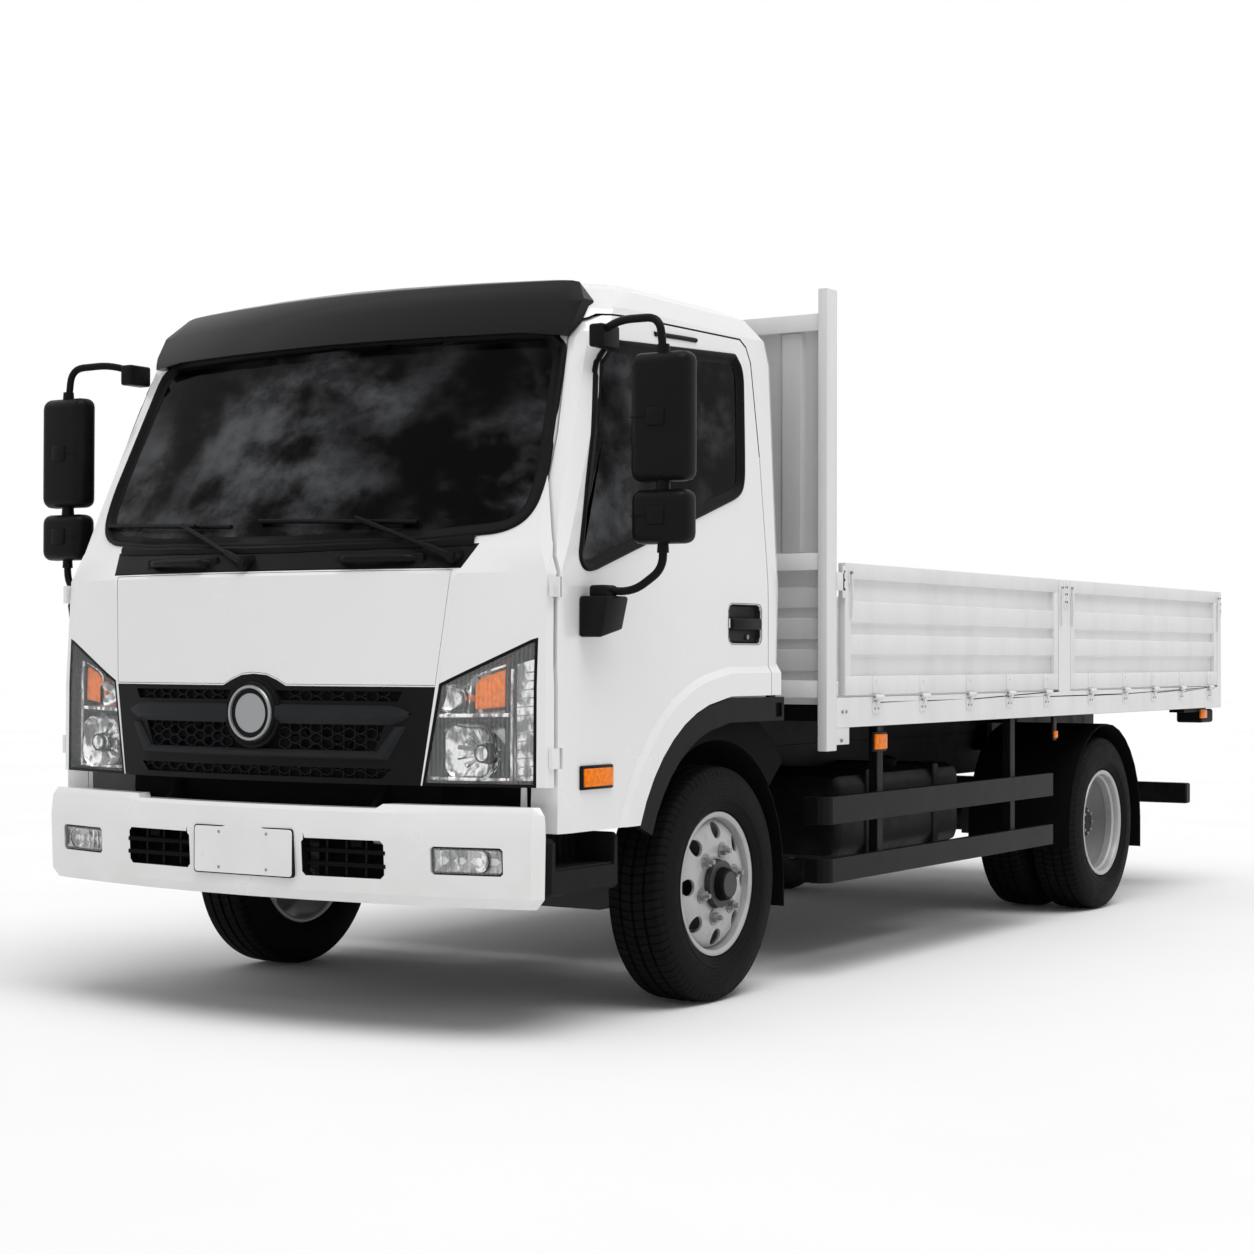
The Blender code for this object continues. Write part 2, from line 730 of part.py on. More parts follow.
def make_front_axle():
    drop = 0.075
    beam = prism([(-0.52, axle_height - drop - 0.035), (0.52, axle_height - drop - 0.035),
                  (0.71, axle_height - 0.036), (0.735, axle_height - 0.036),
                  (0.735, axle_height + 0.036), (0.69, axle_height + 0.036),
                  (0.48, axle_height - drop + 0.035), (-0.48, axle_height - drop + 0.035),
                  (-0.69, axle_height + 0.036), (-0.735, axle_height + 0.036),
                  (-0.735, axle_height - 0.036), (-0.71, axle_height - 0.036)],
                 "Y", -0.030, 0.030)
    spring_z = axle_height - drop + 0.033
    eye = both_sides(rod((kingpin_x, 0, axle_height - 0.042),
                         (kingpin_x, 0, axle_height + 0.042), kingpin_radius, 16))
    beam = join(beam, eye)
    spring = leaf_spring(0.0, spring_z + 0.055, rail_bottom - seat_gap, 0.66, 0.060)
    clamp = block((rail_outer_x - 0.080, rail_outer_x + 0.010), (-0.065, 0.065),
                  (spring_z - 0.015, spring_z + 0.070))
    axle = join(beam, both_sides(join(spring, clamp)))
    name_piece(axle, "front_axle", cast_iron, root)


def make_rear_axle():
    end = twin_outer_x - twin_spacing / 2 - twin_hub_reach - seat_gap
    casing = turned(((-end, 0.0), (-end, 0.105), (-0.560, 0.105), (-0.545, 0.058),
                     (-0.200, 0.062), (-0.110, 0.150), (0.110, 0.150), (0.200, 0.062),
                     (0.545, 0.058), (0.560, 0.105), (end, 0.105), (end, 0.0)),
                    (0, rear_axle_y, axle_height), 16)
    nose = rod((0, rear_axle_y - 0.10, axle_height), (0, rear_axle_y - 0.27, axle_height),
               0.100, 20, 0.060)
    spring = leaf_spring(rear_axle_y, axle_height + 0.120, rail_bottom - seat_gap, 0.66, 0.065)
    clamp = block((rail_outer_x - 0.080, rail_outer_x + 0.010),
                  (rear_axle_y - 0.070, rear_axle_y + 0.070),
                  (axle_height - 0.070, axle_height + 0.135))
    casing = join(casing, nose, both_sides(join(spring, clamp)))
    name_piece(casing, "rear_axle", cast_iron, root)


def make_engine():
    block_z = (0.500, 0.925)
    engine = block((-0.260, 0.260), (-0.800, -0.060), block_z, 0.02)
    gearbox = block((-0.150, 0.150), (-0.100, 0.520), (0.430, 0.730), 0.02)
    mounts = block((-0.400, 0.400), (-0.500, -0.380), (rail_top + seat_gap, rail_top + 0.04))
    name_piece(join(engine, gearbox, mounts), "engine_block", cast_iron, root)
    shaft_front = Vector((0, 0.523 + seat_gap, 0.580))
    shaft_rear = Vector((0, rear_axle_y - 0.27 - seat_gap, axle_height))
    shaft = join(rod(shaft_front, (0, 0.60, 0.576), 0.055, 16),
                 rod((0, 0.59, 0.577), shaft_rear + Vector((0, -0.06, 0.0)), 0.040, 16),
                 rod(shaft_rear + Vector((0, -0.07, 0.0)), shaft_rear, 0.055, 16))
    name_piece(shaft, "propshaft", cast_iron, root)
    radiator = block((-0.330, 0.330), (-0.960, -0.880),
                     (rail_bottom - 0.6 * crossmember_radius + seat_gap, 0.930))
    name_piece(radiator, "radiator", dark_metal, root)


def make_frame():
    outer, inner = rail_outer_x, rail_outer_x - rail_flange
    channel = [(inner, rail_bottom), (outer, rail_bottom), (outer, rail_top),
               (inner, rail_top), (inner, rail_top - rail_wall),
               (outer - rail_wall, rail_top - rail_wall),
               (outer - rail_wall, rail_bottom + rail_wall), (inner, rail_bottom + rail_wall)]
    frame = both_sides(prism(channel, "Y", rail_front_y, rail_rear_y))
    for y in crossmember_ys:
        z = rail_bottom + crossmember_radius + rail_wall + 0.004
        if y < 0:
            z = rail_bottom - crossmember_radius * 1.6
            hanger = block((inner + 0.003, outer - 0.003), (y - 0.03, y + 0.03),
                           (z, rail_bottom + 0.002))
            frame = join(frame, both_sides(hanger))
        frame = join(frame, rod((-outer + 0.004, y, z), (outer - 0.004, y, z),
                                crossmember_radius, 12))
    frame = join(frame, block((-outer + 0.002, outer - 0.002),
                              (rail_rear_y - end_member_depth, rail_rear_y - 0.002),
                              (rail_bottom + 0.002, rail_top - 0.002)))
    ear = prism([(rail_front_y + 0.08, rail_bottom + 0.002), (rail_front_y + 0.08, rail_top - 0.01),
                 (rail_front_y, rail_top - 0.01), (ear_front_y, 0.640), (ear_front_y, 0.555),
                 (rail_front_y, 0.555)],
                "X", rail_outer_x - ear_width, rail_outer_x - 0.001)
    pin = rod((rail_outer_x - 0.005, tilt_pivot_y, tilt_pivot_z),
              (tilt_arm_x + tilt_arm_width + 0.010, tilt_pivot_y, tilt_pivot_z),
              tilt_pin_radius, 20)
    post = block((0.370, 0.370 + mount_post_size), (mount_post_y, mount_post_y + mount_post_size),
                 (rail_top - 0.004, cab_floor_bottom - seat_gap))
    cylinder = join(rod((0.530, 0.690, 0.430), (0.530, 0.690, 0.640), 0.070, 16),
                    block((rail_outer_x - 0.003, 0.500), (0.660, 0.720), (0.615, 0.655)))
    frame = join(frame, both_sides(join(ear, pin)), both_sides(post), cylinder)
    name_piece(frame, "chassis_frame", chassis_black, root)


# Chassis-mounted units


def make_tank():
    x = (0.455, 0.850)
    y = (1.060, 2.200)
    z = (0.375, 0.700)
    tank = block(x, y, z, 0.055, 2)
    for strap_y in (1.330, 1.930):
        strap = block((rail_outer_x + seat_gap, x[1] + 0.006), (strap_y - 0.025, strap_y + 0.025),
                      (z[0] - 0.006, z[1] + 0.006), 0.004)
        tank = join(tank, strap)
    tank = join(tank, rod((0.730, 1.710, z[1] - 0.02), (0.745, 1.710, z[1] + 0.035), 0.045, 16))
    name_piece(tank, "fuel_tank", chassis_black, root)


def make_right_units():
    box = block((-0.800, -rail_outer_x - seat_gap), (1.900, 2.450), (0.440, 0.720), 0.012, 1)
    lid = block((-0.806, -0.430), (1.894, 2.456), (0.660, 0.700))
    name_piece(join(box, lid), "battery_box", black_plastic, root)
    silencer = rod((-0.620, 0.900, 0.560), (-0.620, 1.620, 0.560), 0.120, 20)
    hanger = block((-0.640, -rail_outer_x - seat_gap), (1.240, 1.280), (0.640, 0.690))
    pipe = tube(((-0.620, 0.92, 0.560), (-0.620, 0.72, 0.560), (-0.460, 0.62, 0.520),
                 (-0.460, 0.30, 0.500)), 0.030)
    outlet = tube(((-0.620, 1.60, 0.560), (-0.620, 1.74, 0.520), (-0.900, 1.80, 0.480)), 0.028)
    name_piece(join(silencer, hanger, pipe, outlet), "exhaust", dark_metal, root)


def guard_rail(low_z, high_z, rear):
    """A flat rail whose front end is turned inwards."""
    wall = guard_outer_x - guard_inner_x
    bend = (guard_outer_x - guard_bend, guard_front_y + guard_bend)
    end_x = guard_inner_x - 0.065
    outline = ([(guard_inner_x, rear), (guard_outer_x, rear)]
               + arc(bend, guard_bend, 0, -90, 4)
               + [(end_x, guard_front_y), (end_x, guard_front_y + wall)]
               + arc(bend, guard_bend - wall, -90, 0, 2))
    return prism(outline, "Z", low_z, high_z)


def make_side_guards():
    rear = middle_post_y[0]
    guard = guard_rail(*guard_rails[1], rear)
    for y in guard_struts:
        guard = join(guard, block((guard_inner_x - 0.030, guard_inner_x + 0.004),
                                  (y - 0.025, y + 0.025),
                                  (guard_rails[0][0] + 0.010, side_rail_bottom - seat_gap)))
    guard = join(guard, guard_rail(*guard_rails[0], rear))
    left = name_piece(guard, "side_guard_left", black_plastic, root)
    name_piece(mirrored_piece(left), "side_guard_right", black_plastic, root)


def mirrored_piece(named):
    """The other-hand copy of a finished piece that hangs on the truck itself."""
    twin = mirrored(named)
    twin.parent = None
    return twin


def make_bumper():
    outer = section_loft(bumper_sections)
    inner = section_loft(bumper_sections, bumper_wall, 0.1)
    front = -nose_reach - 0.070
    lip = block((-0.99, 0.99), (front, -0.8), (bumper_top - 0.02, bumper_top + 0.1))
    lip = cut(lip, section_loft(bumper_sections, bumper_lip, 0.1))
    shell = cut(outer, cut(inner, lip))
    shell = cut(shell, block((-1.2, 1.2), (bumper_end_y, -0.5), (0.2, 1.0)))
    shell = cut(shell, prism(list(bumper_notch), "Y", front, -0.9))
    duct_low_x, duct_high_x, duct_low_z, duct_high_z = bumper_duct
    lamp_low_x, lamp_high_x, lamp_low_z, lamp_high_z = bumper_lamp
    for side in (-1, 1):
        duct_x = sorted((side * duct_low_x, side * duct_high_x))
        shell = cut(shell, block(duct_x, (front, -1.0), (duct_low_z, duct_high_z), 0.012))
        middle = (duct_low_z + duct_high_z) / 2
        slats = [block((duct_x[0] - 0.005, duct_x[1] + 0.005),
                       (0.025 - nose_reach, 0.045 - nose_reach), (z, z + bumper_slat))
                 for z in (middle - 0.026, middle + 0.014)]
        shell = join(shell, *slats)
        lamp_x = sorted((side * lamp_low_x, side * lamp_high_x))
        recess = cut(block(lamp_x, (front, -1.0), (lamp_low_z, lamp_high_z), 0.008),
                     section_loft(bumper_sections, bumper_lamp_inset, 0.1))
        shell = cut(shell, recess)
        pad = block(sorted((side * 0.385, side * 0.425)), (0.035 - nose_reach, ear_front_y - seat_gap),
                    (0.560, 0.630))
        shell = join(shell, pad)
    name_piece(shell, "bumper", white_paint, root)


def make_steps():
    x = (0.800, 0.975)
    y = (-1.000, -0.620)
    step = block(x, y, (0.425, 0.595), 0.012, 1)
    recess = block((0.830, 1.050), (y[0] + 0.030, y[1] - 0.030), (0.500, 0.640))
    step = cut(step, recess)
    arm = block((rail_outer_x + 0.040, x[0] + 0.01), (-0.860, -0.800), (0.470, 0.520))
    foot = block((rail_outer_x + seat_gap, rail_outer_x + 0.046), (-0.860, -0.800), (0.470, 0.680))
    left = name_piece(join(step, arm, foot), "step_left", black_plastic, root)
    name_piece(mirrored_piece(left), "step_right", black_plastic, root)


def ring_section(radius, outer, centre, start, end, points):
    return (arc(centre, radius, start, end, points)
            + arc(centre, outer, end, start, points))


def make_front_mudguards():
    centre = (0.0, axle_height)
    liner_outline = ring_section(front_guard_radius, front_guard_radius + guard_wall,
                                 centre, 154, 0, 15)
    liner = prism(liner_outline, "X", 0.600, 0.950)
    flap = block((0.600, 0.952), (front_guard_radius - 0.001,
                                  front_guard_radius + guard_wall + 0.001),
                 (0.270, axle_height + 0.015))
    flange_outline = ring_section(front_guard_radius + 0.001, front_guard_rim, centre, 154, 40, 13)
    flange = prism(flange_outline, "X", 0.945, 0.955)
    stay_z = 0.620
    stay_y = math.sqrt((front_guard_radius + guard_wall) ** 2 - (stay_z - axle_height) ** 2)
    stay = block((rail_outer_x + seat_gap, 0.700), (stay_y - 0.003, stay_y + 0.020),
                 (stay_z - 0.012, stay_z + 0.012))
    left = name_piece(join(liner, flap, flange, stay), "front_mudguard_left",
                      black_plastic, root)
    name_piece(mirrored_piece(left), "front_mudguard_right", black_plastic, root)


def make_rear_mudguards():
    centre = (rear_axle_y, axle_height)
    liner = prism(ring_section(rear_guard_radius, rear_guard_radius + guard_wall, centre,
                               180, 0, 17), "X", *rear_guard_x)
    front_skirt = block(rear_guard_x, (rear_axle_y - rear_guard_radius - guard_wall,
                                         rear_axle_y - rear_guard_radius),
                        (0.300, axle_height + 0.01))
    flap_y = rear_axle_y + rear_guard_radius
    flap = block(rear_guard_x, (flap_y, flap_y + guard_wall), (0.250, axle_height + 0.01))
    bracket = block((sill_x + sill_width / 2 + 0.02, 0.580),
                    (rear_axle_y - 0.03, rear_axle_y + 0.03),
                    (axle_height + rear_guard_radius, axle_height + rear_guard_radius + 0.030))
    foot = block((rail_outer_x + seat_gap, rail_outer_x + 0.030),
                 (rear_axle_y - 0.03, rear_axle_y + 0.03),
                 (rail_top - 0.08, axle_height + rear_guard_radius + 0.030))
    left = name_piece(join(liner, front_skirt, flap, join(bracket, foot)),
                      "rear_mudguard_left", black_plastic, root)
    name_piece(mirrored_piece(left), "rear_mudguard_right", black_plastic, root)


def make_rear_end():
    y = 4.560
    bar = block((-1.000, 1.000), (y, y + 0.060), (0.410, 0.510), 0.006)
    arm = prism([(y, 0.420), (y + 0.055, 0.420), (rail_rear_y - 0.02, 0.640),
                 (rail_rear_y - 0.02, 0.740), (rail_rear_y - 0.16, 0.740)],
                "X", rail_outer_x + seat_gap, rail_outer_x + 0.020)
    name_piece(join(bar, both_sides(arm)), "underrun_bar", chassis_black, root)
    edge = bed_half_width - 0.031
    lamp = block((edge - 0.130, edge), (4.700, 4.880), (0.805, 0.872), 0.008)
    plate = block((edge - 0.080, edge - 0.005), (4.450, 4.780),
                  (0.860, side_rail_bottom - seat_gap))
    left = name_piece(join(lamp, plate), "tail_lamp_left", black_plastic, root)
    name_piece(mirrored_piece(left), "tail_lamp_right", black_plastic, root)


# Load bed


def hinge_half(face, low, high, leaf_low, leaf_high, along):
    """Half of a bed hinge: a leaf on a face and its rolled eye on the hinge axis.
    It runs from low to high along Y for the sides and along X for the tail."""
    eye = face + hinge_offset
    upward = leaf_high > hinge_z + hinge_radius
    if upward:
        outline = (arc((eye, hinge_z), hinge_radius, 150, 400, 6)
                   + [(face + hinge_leaf, leaf_high), (face - 0.003, leaf_high)])
    else:
        outline = (arc((eye, hinge_z), hinge_radius, -40, 210, 6)
                   + [(face - 0.003, leaf_low), (face + hinge_leaf, leaf_low)])
    half = prism(outline, "Y", low, high)
    if along == "X":
        bm = bmesh.new()
        bm.from_mesh(half.data)
        bmesh.ops.rotate(bm, verts=bm.verts[:], cent=(0, 0, 0),
                         matrix=Matrix.Rotation(math.pi / 2, 3, "Z"))
        bmesh.ops.scale(bm, vec=(-1, 1, 1), verts=bm.verts[:])
        bmesh.ops.reverse_faces(bm, faces=bm.faces[:])
        bm.to_mesh(half.data)
        bm.free()
    return half


def make_deck():
    rear = tail_face_y
    plate = block((-bed_half_width + 0.002, bed_half_width - 0.002), (bed_front_y, rear - 0.002),
                  (deck_top - deck_plate, deck_top))
    rail = block((bed_half_width - side_rail_wall, bed_half_width), (bed_front_y, rear),
                 (side_rail_bottom, deck_top))
    tail_rail = block((-bed_half_width + 0.004, bed_half_width - 0.004),
                      (rear - side_rail_wall, rear), (side_rail_bottom, deck_top))
    deck = join(plate, both_sides(rail), tail_rail)
    pitch = (rear - 0.25 - bed_front_y) / (bearers - 1)
    for n in range(bearers):
        y = bed_front_y + 0.04 + n * pitch
        deck = join(deck, block((-bed_half_width + 0.01, bed_half_width - 0.01),
                                (y, y + bearer_width),
                                (deck_top - deck_plate - bearer_height,
                                 deck_top - deck_plate + 0.004)))
    sill = block((sill_x - sill_width / 2, sill_x + sill_width / 2), (bed_front_y + 0.02, rear - 0.1),
                 (rail_top + seat_gap, deck_top - deck_plate - bearer_height + 0.01))
    deck = join(deck, both_sides(sill))
    posts = []
    for low, high in (middle_post_y, (rear_post_y, rear)):
        posts.append(block((bed_half_width - post_wall, bed_half_width), (low, high),
                           (side_rail_bottom, board_top)))
    deck = join(deck, *[both_sides(post) for post in posts])
    half = hinge_length / 2
    for y in front_board_hinges + rear_board_hinges:
        hinge = hinge_half(bed_half_width, y, y + half - seat_gap, hinge_z - 0.045, hinge_z, "Y")
        deck = join(deck, mirrored(hinge), hinge)
    for x in tail_hinges:
        deck = join(deck, hinge_half(tail_face_y, x, x + half - seat_gap, hinge_z - 0.045,
                                     hinge_z, "X"))
    name_piece(deck, "load_deck", bed_paint, root)


def board_outline(low, high):
    """Section of a drop side: outer frame face with three raised ribs."""
    face = bed_half_width
    back = face - board_wall
    ribs = []
    height = high - low
    for share in (0.24, 0.50, 0.76):
        z = low + height * share
        ribs += [(face - rib_depth, z - 0.045), (face, z - 0.037), (face, z + 0.037),
                 (face - rib_depth, z + 0.045)]
    return ([(back, low), (face, low), (face, low + 0.055), (face - rib_depth, low + 0.060)]
            + ribs + [(face - rib_depth, high - 0.060), (face, high - 0.055), (face, high),
                      (back, high)])


def board_between(low_y, high_y):
    """One drop side, framed, with pressed ribs, standing along Y."""
    face = bed_half_width
    board = prism([(x, z) for x, z in board_outline(board_bottom, board_top)], "Y",
                  low_y + 0.03, high_y - 0.03)
    ends = [block((face - board_wall, face), (low, low + 0.050), (board_bottom, board_top))
            for low in (low_y, high_y - 0.050)]
    return join(board, *ends)


def make_side_boards(carriers):
    half = hinge_length / 2
    spans = {"front": (board_front_y, middle_post_y[0] - moving_gap, front_board_hinges),
             "rear": (middle_post_y[1] + moving_gap, rear_post_y - moving_gap, rear_board_hinges)}
    for place, (low, high, hinges) in spans.items():
        board = board_between(low, high)
        for y in hinges:
            board = join(board, hinge_half(bed_half_width, y - half, y - seat_gap, hinge_z,
                                           board_bottom + 0.050, "Y"))
        name_piece(mirrored(board), "side_board_" + place + "_right", bed_paint,
                   carriers[place, "right"])
        name_piece(board, "side_board_" + place + "_left", bed_paint, carriers[place, "left"])


def make_tailboard(carrier):
    half_width = bed_half_width - post_wall - moving_gap
    half = hinge_length / 2
    shift = tail_face_y - bed_half_width
    outline = [(x + shift, z) for x, z in board_outline(board_bottom, board_top)]
    board = prism(outline, "X", -half_width + 0.03, half_width - 0.03)
    ends = [block((x, x + 0.050), (tail_face_y - board_wall, tail_face_y),
                  (board_bottom, board_top)) for x in (-half_width, half_width - 0.050)]
    board = join(board, *ends)
    for x in tail_hinges:
        board = join(board, hinge_half(tail_face_y, x - half, x - seat_gap, hinge_z,
                                       board_bottom + 0.050, "X"))
    name_piece(board, "tailboard", bed_paint, carrier)


def make_headboard():
    low_y, high_y = headboard_post_y
    inner = bed_half_width - headboard_post_width
    sheet_y = (0.580, 0.596)
    post = block((inner, bed_half_width), (low_y, high_y), (headboard_bottom, headboard_top))
    rails = [block((-inner - 0.01, inner + 0.01), (0.555, 0.625), (z, z + headboard_rail))
             for z in (headboard_rail_top - headboard_rail, headboard_middle, deck_top)]
    foot = block((bed_half_width - 0.012, bed_half_width - 0.002), (low_y + 0.02, 0.760),
                 (headboard_bottom + 0.02, side_rail_bottom - seat_gap))
    board = join(both_sides(join(post, foot)), *rails)
    sheet = block((-inner - 0.01, inner + 0.01), sheet_y, (deck_top + 0.02, headboard_rail_top - 0.02))
    board = join(board, sheet)
    ribs = 9
    pitch = 2 * inner / ribs
    for n in range(ribs):
        x = -inner + (n + 0.5) * pitch
        rib = prism([(x - 0.050, sheet_y[0] + 0.001), (x - 0.034, sheet_y[0] - 0.014),
                     (x + 0.034, sheet_y[0] - 0.014), (x + 0.050, sheet_y[0] + 0.001)],
                    "Z", headboard_middle + 0.05, headboard_rail_top - headboard_rail + 0.01)
        board = join(board, rib)
    for z in (1.115, 1.225, 1.335):
        board = join(board, prism([(sheet_y[0] + 0.001, z - 0.040), (sheet_y[0] - 0.012, z - 0.028),
                                   (sheet_y[0] - 0.012, z + 0.028), (sheet_y[0] + 0.001, z + 0.040)],
                                  "X", -inner - 0.005, inner + 0.005))
    name_piece(board, "headboard", bed_paint, root)


# Cab


def cab_envelope():
    """The cab as one hollow body, before its doors and front are parted."""
    shell = cab_body()
    room = overlap(section_loft(cab_sections, cab_wall),
                   block((-1.5, 1.5), (-2, 2), (cab_floor_top, 3.0)))
    under = cut(section_loft(cab_sections, cab_wall, 0.2),
                block((-1.5, 1.5), (-2, 2), (cab_floor_bottom, 3.0)))
    shell = cut(shell, room, under)
    shell = cut(shell, block((-1.2, 1.2), (-2.0, -0.992), (0.3, nose_bottom)))
    return cut(shell, arch_cutter())


def arch_cutter():
    """The wheel arch in side view, with all that is open behind it."""
    edge = arch_line(0.0)
    return prism([(edge[0][0], 0.2)] + edge + [(0.8, 0.2)], "X", -1.3, 1.3)


def door_outline(amount):
    bottom = [(0.269, 0.3), (-0.983, 0.3)]
    return grown(list(door_front) + list(door_rear)[:-1] + bottom, amount)


def side_zone(side, gap):
    """The zone of a door in front view, which leaves the pillars' inner faces."""
    outline = [(x - gap, z) for x, z in door_zone] + [(1.5, 3.0), (1.5, 0.2)]
    if side == "right":
        outline = [(-x, z) for x, z in reversed(outline)]
    return prism(outline, "Y", -1.6, 0.6)


def hinge_pockets(x_side):
    """Hinge barrels of the cab and the pockets that they need in a door."""
    lugs, pockets = [], []
    for z in door_hinge_zs:
        low, high = z, z + door_hinge_length
        barrel = rod((door_hinge_x, door_hinge_y, low + seat_gap),
                     (door_hinge_x, door_hinge_y, high - seat_gap), door_hinge_radius, 12)
        neck = block((door_hinge_x - door_hinge_radius * 0.8, door_hinge_x + door_hinge_radius * 0.8),
                     (-1.010, door_hinge_y), (low + seat_gap, high - seat_gap))
        lugs.append(join(barrel, neck))
        pockets.append(block((door_hinge_x - 0.016, 1.05), (-1.05, door_hinge_y + 0.013),
                             (low, high)))
    if x_side < 0:
        flipped = []
        for thing in lugs + pockets:
            flipped.append(mirrored(thing))
            bpy.data.objects.remove(thing)
        lugs, pockets = flipped[:len(lugs)], flipped[len(lugs):]
    return lugs, pockets


def make_cab(cab_pivot, door_carriers):
    shell = cab_envelope()
    half_cut = {"left": (0.5, 1.5), "right": (-1.5, -0.5)}
    for side, (low, high) in half_cut.items():
        door = overlap(cab_body(), prism(door_outline(0.0), "X", low, high),
                       side_zone(side, 0.0))
        door = cut(door, section_loft(cab_sections, cab_wall, 0.2), arch_cutter())
        hole = overlap(prism(door_hole_outline(), "X", low, high), side_zone(side, door_gap))
        hole = cut(hole, section_loft(cab_sections, cab_wall + door_gap, 0.2))
        sign = 1 if side == "left" else -1
        sweep_x, sweep_y = door_sweep
        sweep = block(sorted(sign * x for x in sweep_x), sweep_y,
                      (cab_floor_bottom - 0.001, cab_floor_top + 0.001))
        shell = cut(shell, hole, sweep)
        door = cut(door, prism(list(door_window), "X", low, high))
        low_y, high_y, low_z, high_z = handle_pocket
        face = sorted((sign * (1.0 - handle_depth), sign * 1.1))
        door = cut(door, prism(rounded_box(*handle_pocket, 0.022), "X", *face))
        paddle = block(sorted((sign * 0.985, sign * 1.003)), (low_y - 0.003, high_y + 0.003),
                       handle_paddle)
        door = join(door, paddle)
        lugs, pockets = hinge_pockets(sign)
        door = cut(door, *pockets)
        shell = join(shell, *lugs)
        for front, inset in ((0.278, -0.004), (0.240, 0.0015)):
            stop = overlap(prism([(front, cab_floor_top - 0.01), (0.300, cab_floor_top - 0.01),
                                  (0.300, door_stop_top), (front, door_stop_top)], "X",
                                 *sorted((sign * 0.925, sign * 0.955))),
                           section_loft(cab_sections, cab_wall + inset))
            shell = join(shell, stop, solver="MANIFOLD")
        pane = overlap(layer(glass_inset, glass_inset + glass_wall),
                       prism(grown(list(door_window), -seat_gap), "X", low, high))
        name_piece(door, "door_" + side, white_paint, door_carriers[side])
        name_piece(pane, "door_glass_" + side, glass, door_carriers[side])
    shell = cut(shell, prism(full_outline(windscreen_half), "Y", -1.6, -0.55))
    front = (("front_lid", full_outline(lid_half), front_skin, white_paint),
             ("cowl_panel", full_outline(cowl_half), front_skin, black_plastic),
             ("grille", full_outline(grille_half), grille_depth, black_plastic),
             ("headlamp_left", list(lamp_outline), lamp_depth, clear_plastic),
             ("headlamp_right", [(-x, z) for x, z in reversed(lamp_outline)], lamp_depth,
              clear_plastic))
    for name, outline, depth, material in front:
        back = lamp_back_y if depth == lamp_depth else -0.45
        gap = seat_gap if depth == lamp_depth else panel_gap / 2
        shell = cut(shell, skin_pocket(outline, depth, back))
        pocket = skin_pocket(grown(outline, -gap), depth - seat_gap, back - seat_gap)
        panel = overlap(section_loft(cab_sections), pocket)
        if min(z for x, z in outline) == outline_foot:
            panel = cut(panel, block((-1.2, 1.2), (-1.6, -0.4), (0.3, nose_bottom)))
        if name == "grille":
            panel = detail_grille(panel)
        name_piece(panel, name, material, cab_pivot)
    pane = overlap(layer(glass_inset, glass_inset + glass_wall),
                   prism(grown(full_outline(windscreen_half), -seat_gap), "Y", -1.6, -0.45))
    name_piece(pane, "windscreen", glass, cab_pivot)
    rear_glass = [(-0.62, 1.55), (0.62, 1.55), (0.62, 1.98), (-0.62, 1.98)]
    shell = cut(shell, prism(rear_glass, "Y", 0.2, 0.6))
    pane = overlap(layer(glass_inset, glass_inset + glass_wall),
                   prism(grown(rear_glass, -seat_gap), "Y", 0.2, 0.6))
    name_piece(pane, "rear_window", glass, cab_pivot)
    arm = prism([(tilt_pivot_y - 0.005, tilt_pivot_z + 0.028), (-1.040, 0.662), (-1.000, 0.760),
                 (-0.990, cab_floor_bottom + 0.01), (-0.890, cab_floor_bottom + 0.01),
                 (-0.915, 0.720), (-1.000, 0.600), (tilt_pivot_y + 0.005, tilt_pivot_z - 0.028)],
                "X", tilt_arm_x, tilt_arm_x + tilt_arm_width)
    eye = rod((tilt_arm_x - 0.002, tilt_pivot_y, tilt_pivot_z),
              (tilt_arm_x + tilt_arm_width + 0.002, tilt_pivot_y, tilt_pivot_z),
              tilt_eye_radius, 24)
    bore = rod((tilt_arm_x - 0.1, tilt_pivot_y, tilt_pivot_z),
               (tilt_arm_x + 0.1, tilt_pivot_y, tilt_pivot_z), tilt_pin_radius + 0.0005, 20)
    arm = cut(join(arm, eye), bore)
    shell = join(shell, both_sides(arm))
    name_piece(shell, "cab_shell", white_paint, cab_pivot)


def detail_grille(panel):
    """Sinks the slots and their honeycomb, and sets the boss with its plain disc."""
    for low_half, high_half, low, high in grille_slots:
        outline = [(-low_half, low), (low_half, low), (high_half, high), (-high_half, high)]
        panel = cut(panel, skin_pocket(outline, grille_slot_depth))
    low_half, high_half, low, high = grille_slots[1]
    for row in range(cell_rows):
        z = low + (high - low) * (row + 0.5) / cell_rows
        shift = 0.5 * (row % 2)
        for column in range(-7, 8):
            x = (column + shift) * cell_width
            if emblem_boss_radius + 0.02 < abs(x) < low_half - cell_width / 2:
                cell = [(x + 0.47 * cell_width * math.cos(math.radians(a)),
                         z + 0.51 * cell_height * math.sin(math.radians(a)))
                        for a in range(0, 360, 60)]
                panel = cut(panel, skin_pocket(cell, grille_slot_depth + cell_depth))
    face_y = cab_sections[1][1]
    boss = rod((0, face_y + 0.030, emblem_z), (0, face_y - 0.004, emblem_z),
               emblem_boss_radius, curve_segments, emblem_boss_radius - 0.008)
    disc = rod((0, face_y + 0.010, emblem_z), (0, face_y - 0.012, emblem_z),
               emblem_disc_radius, curve_segments, emblem_disc_radius - 0.006)
    return join(panel, boss, disc)


def door_hole_outline():
    """The door's outline with its running gaps, wider along the hinge."""
    outline = [(y - door_front_gap if y < -0.5 else y + door_gap,
                z + (door_gap if z > 2.1 else 0.0)) for y, z in door_front + door_rear[:-1]]
    return outline + [(0.269 + door_gap, 0.3), (-0.983 - door_front_gap, 0.3)]


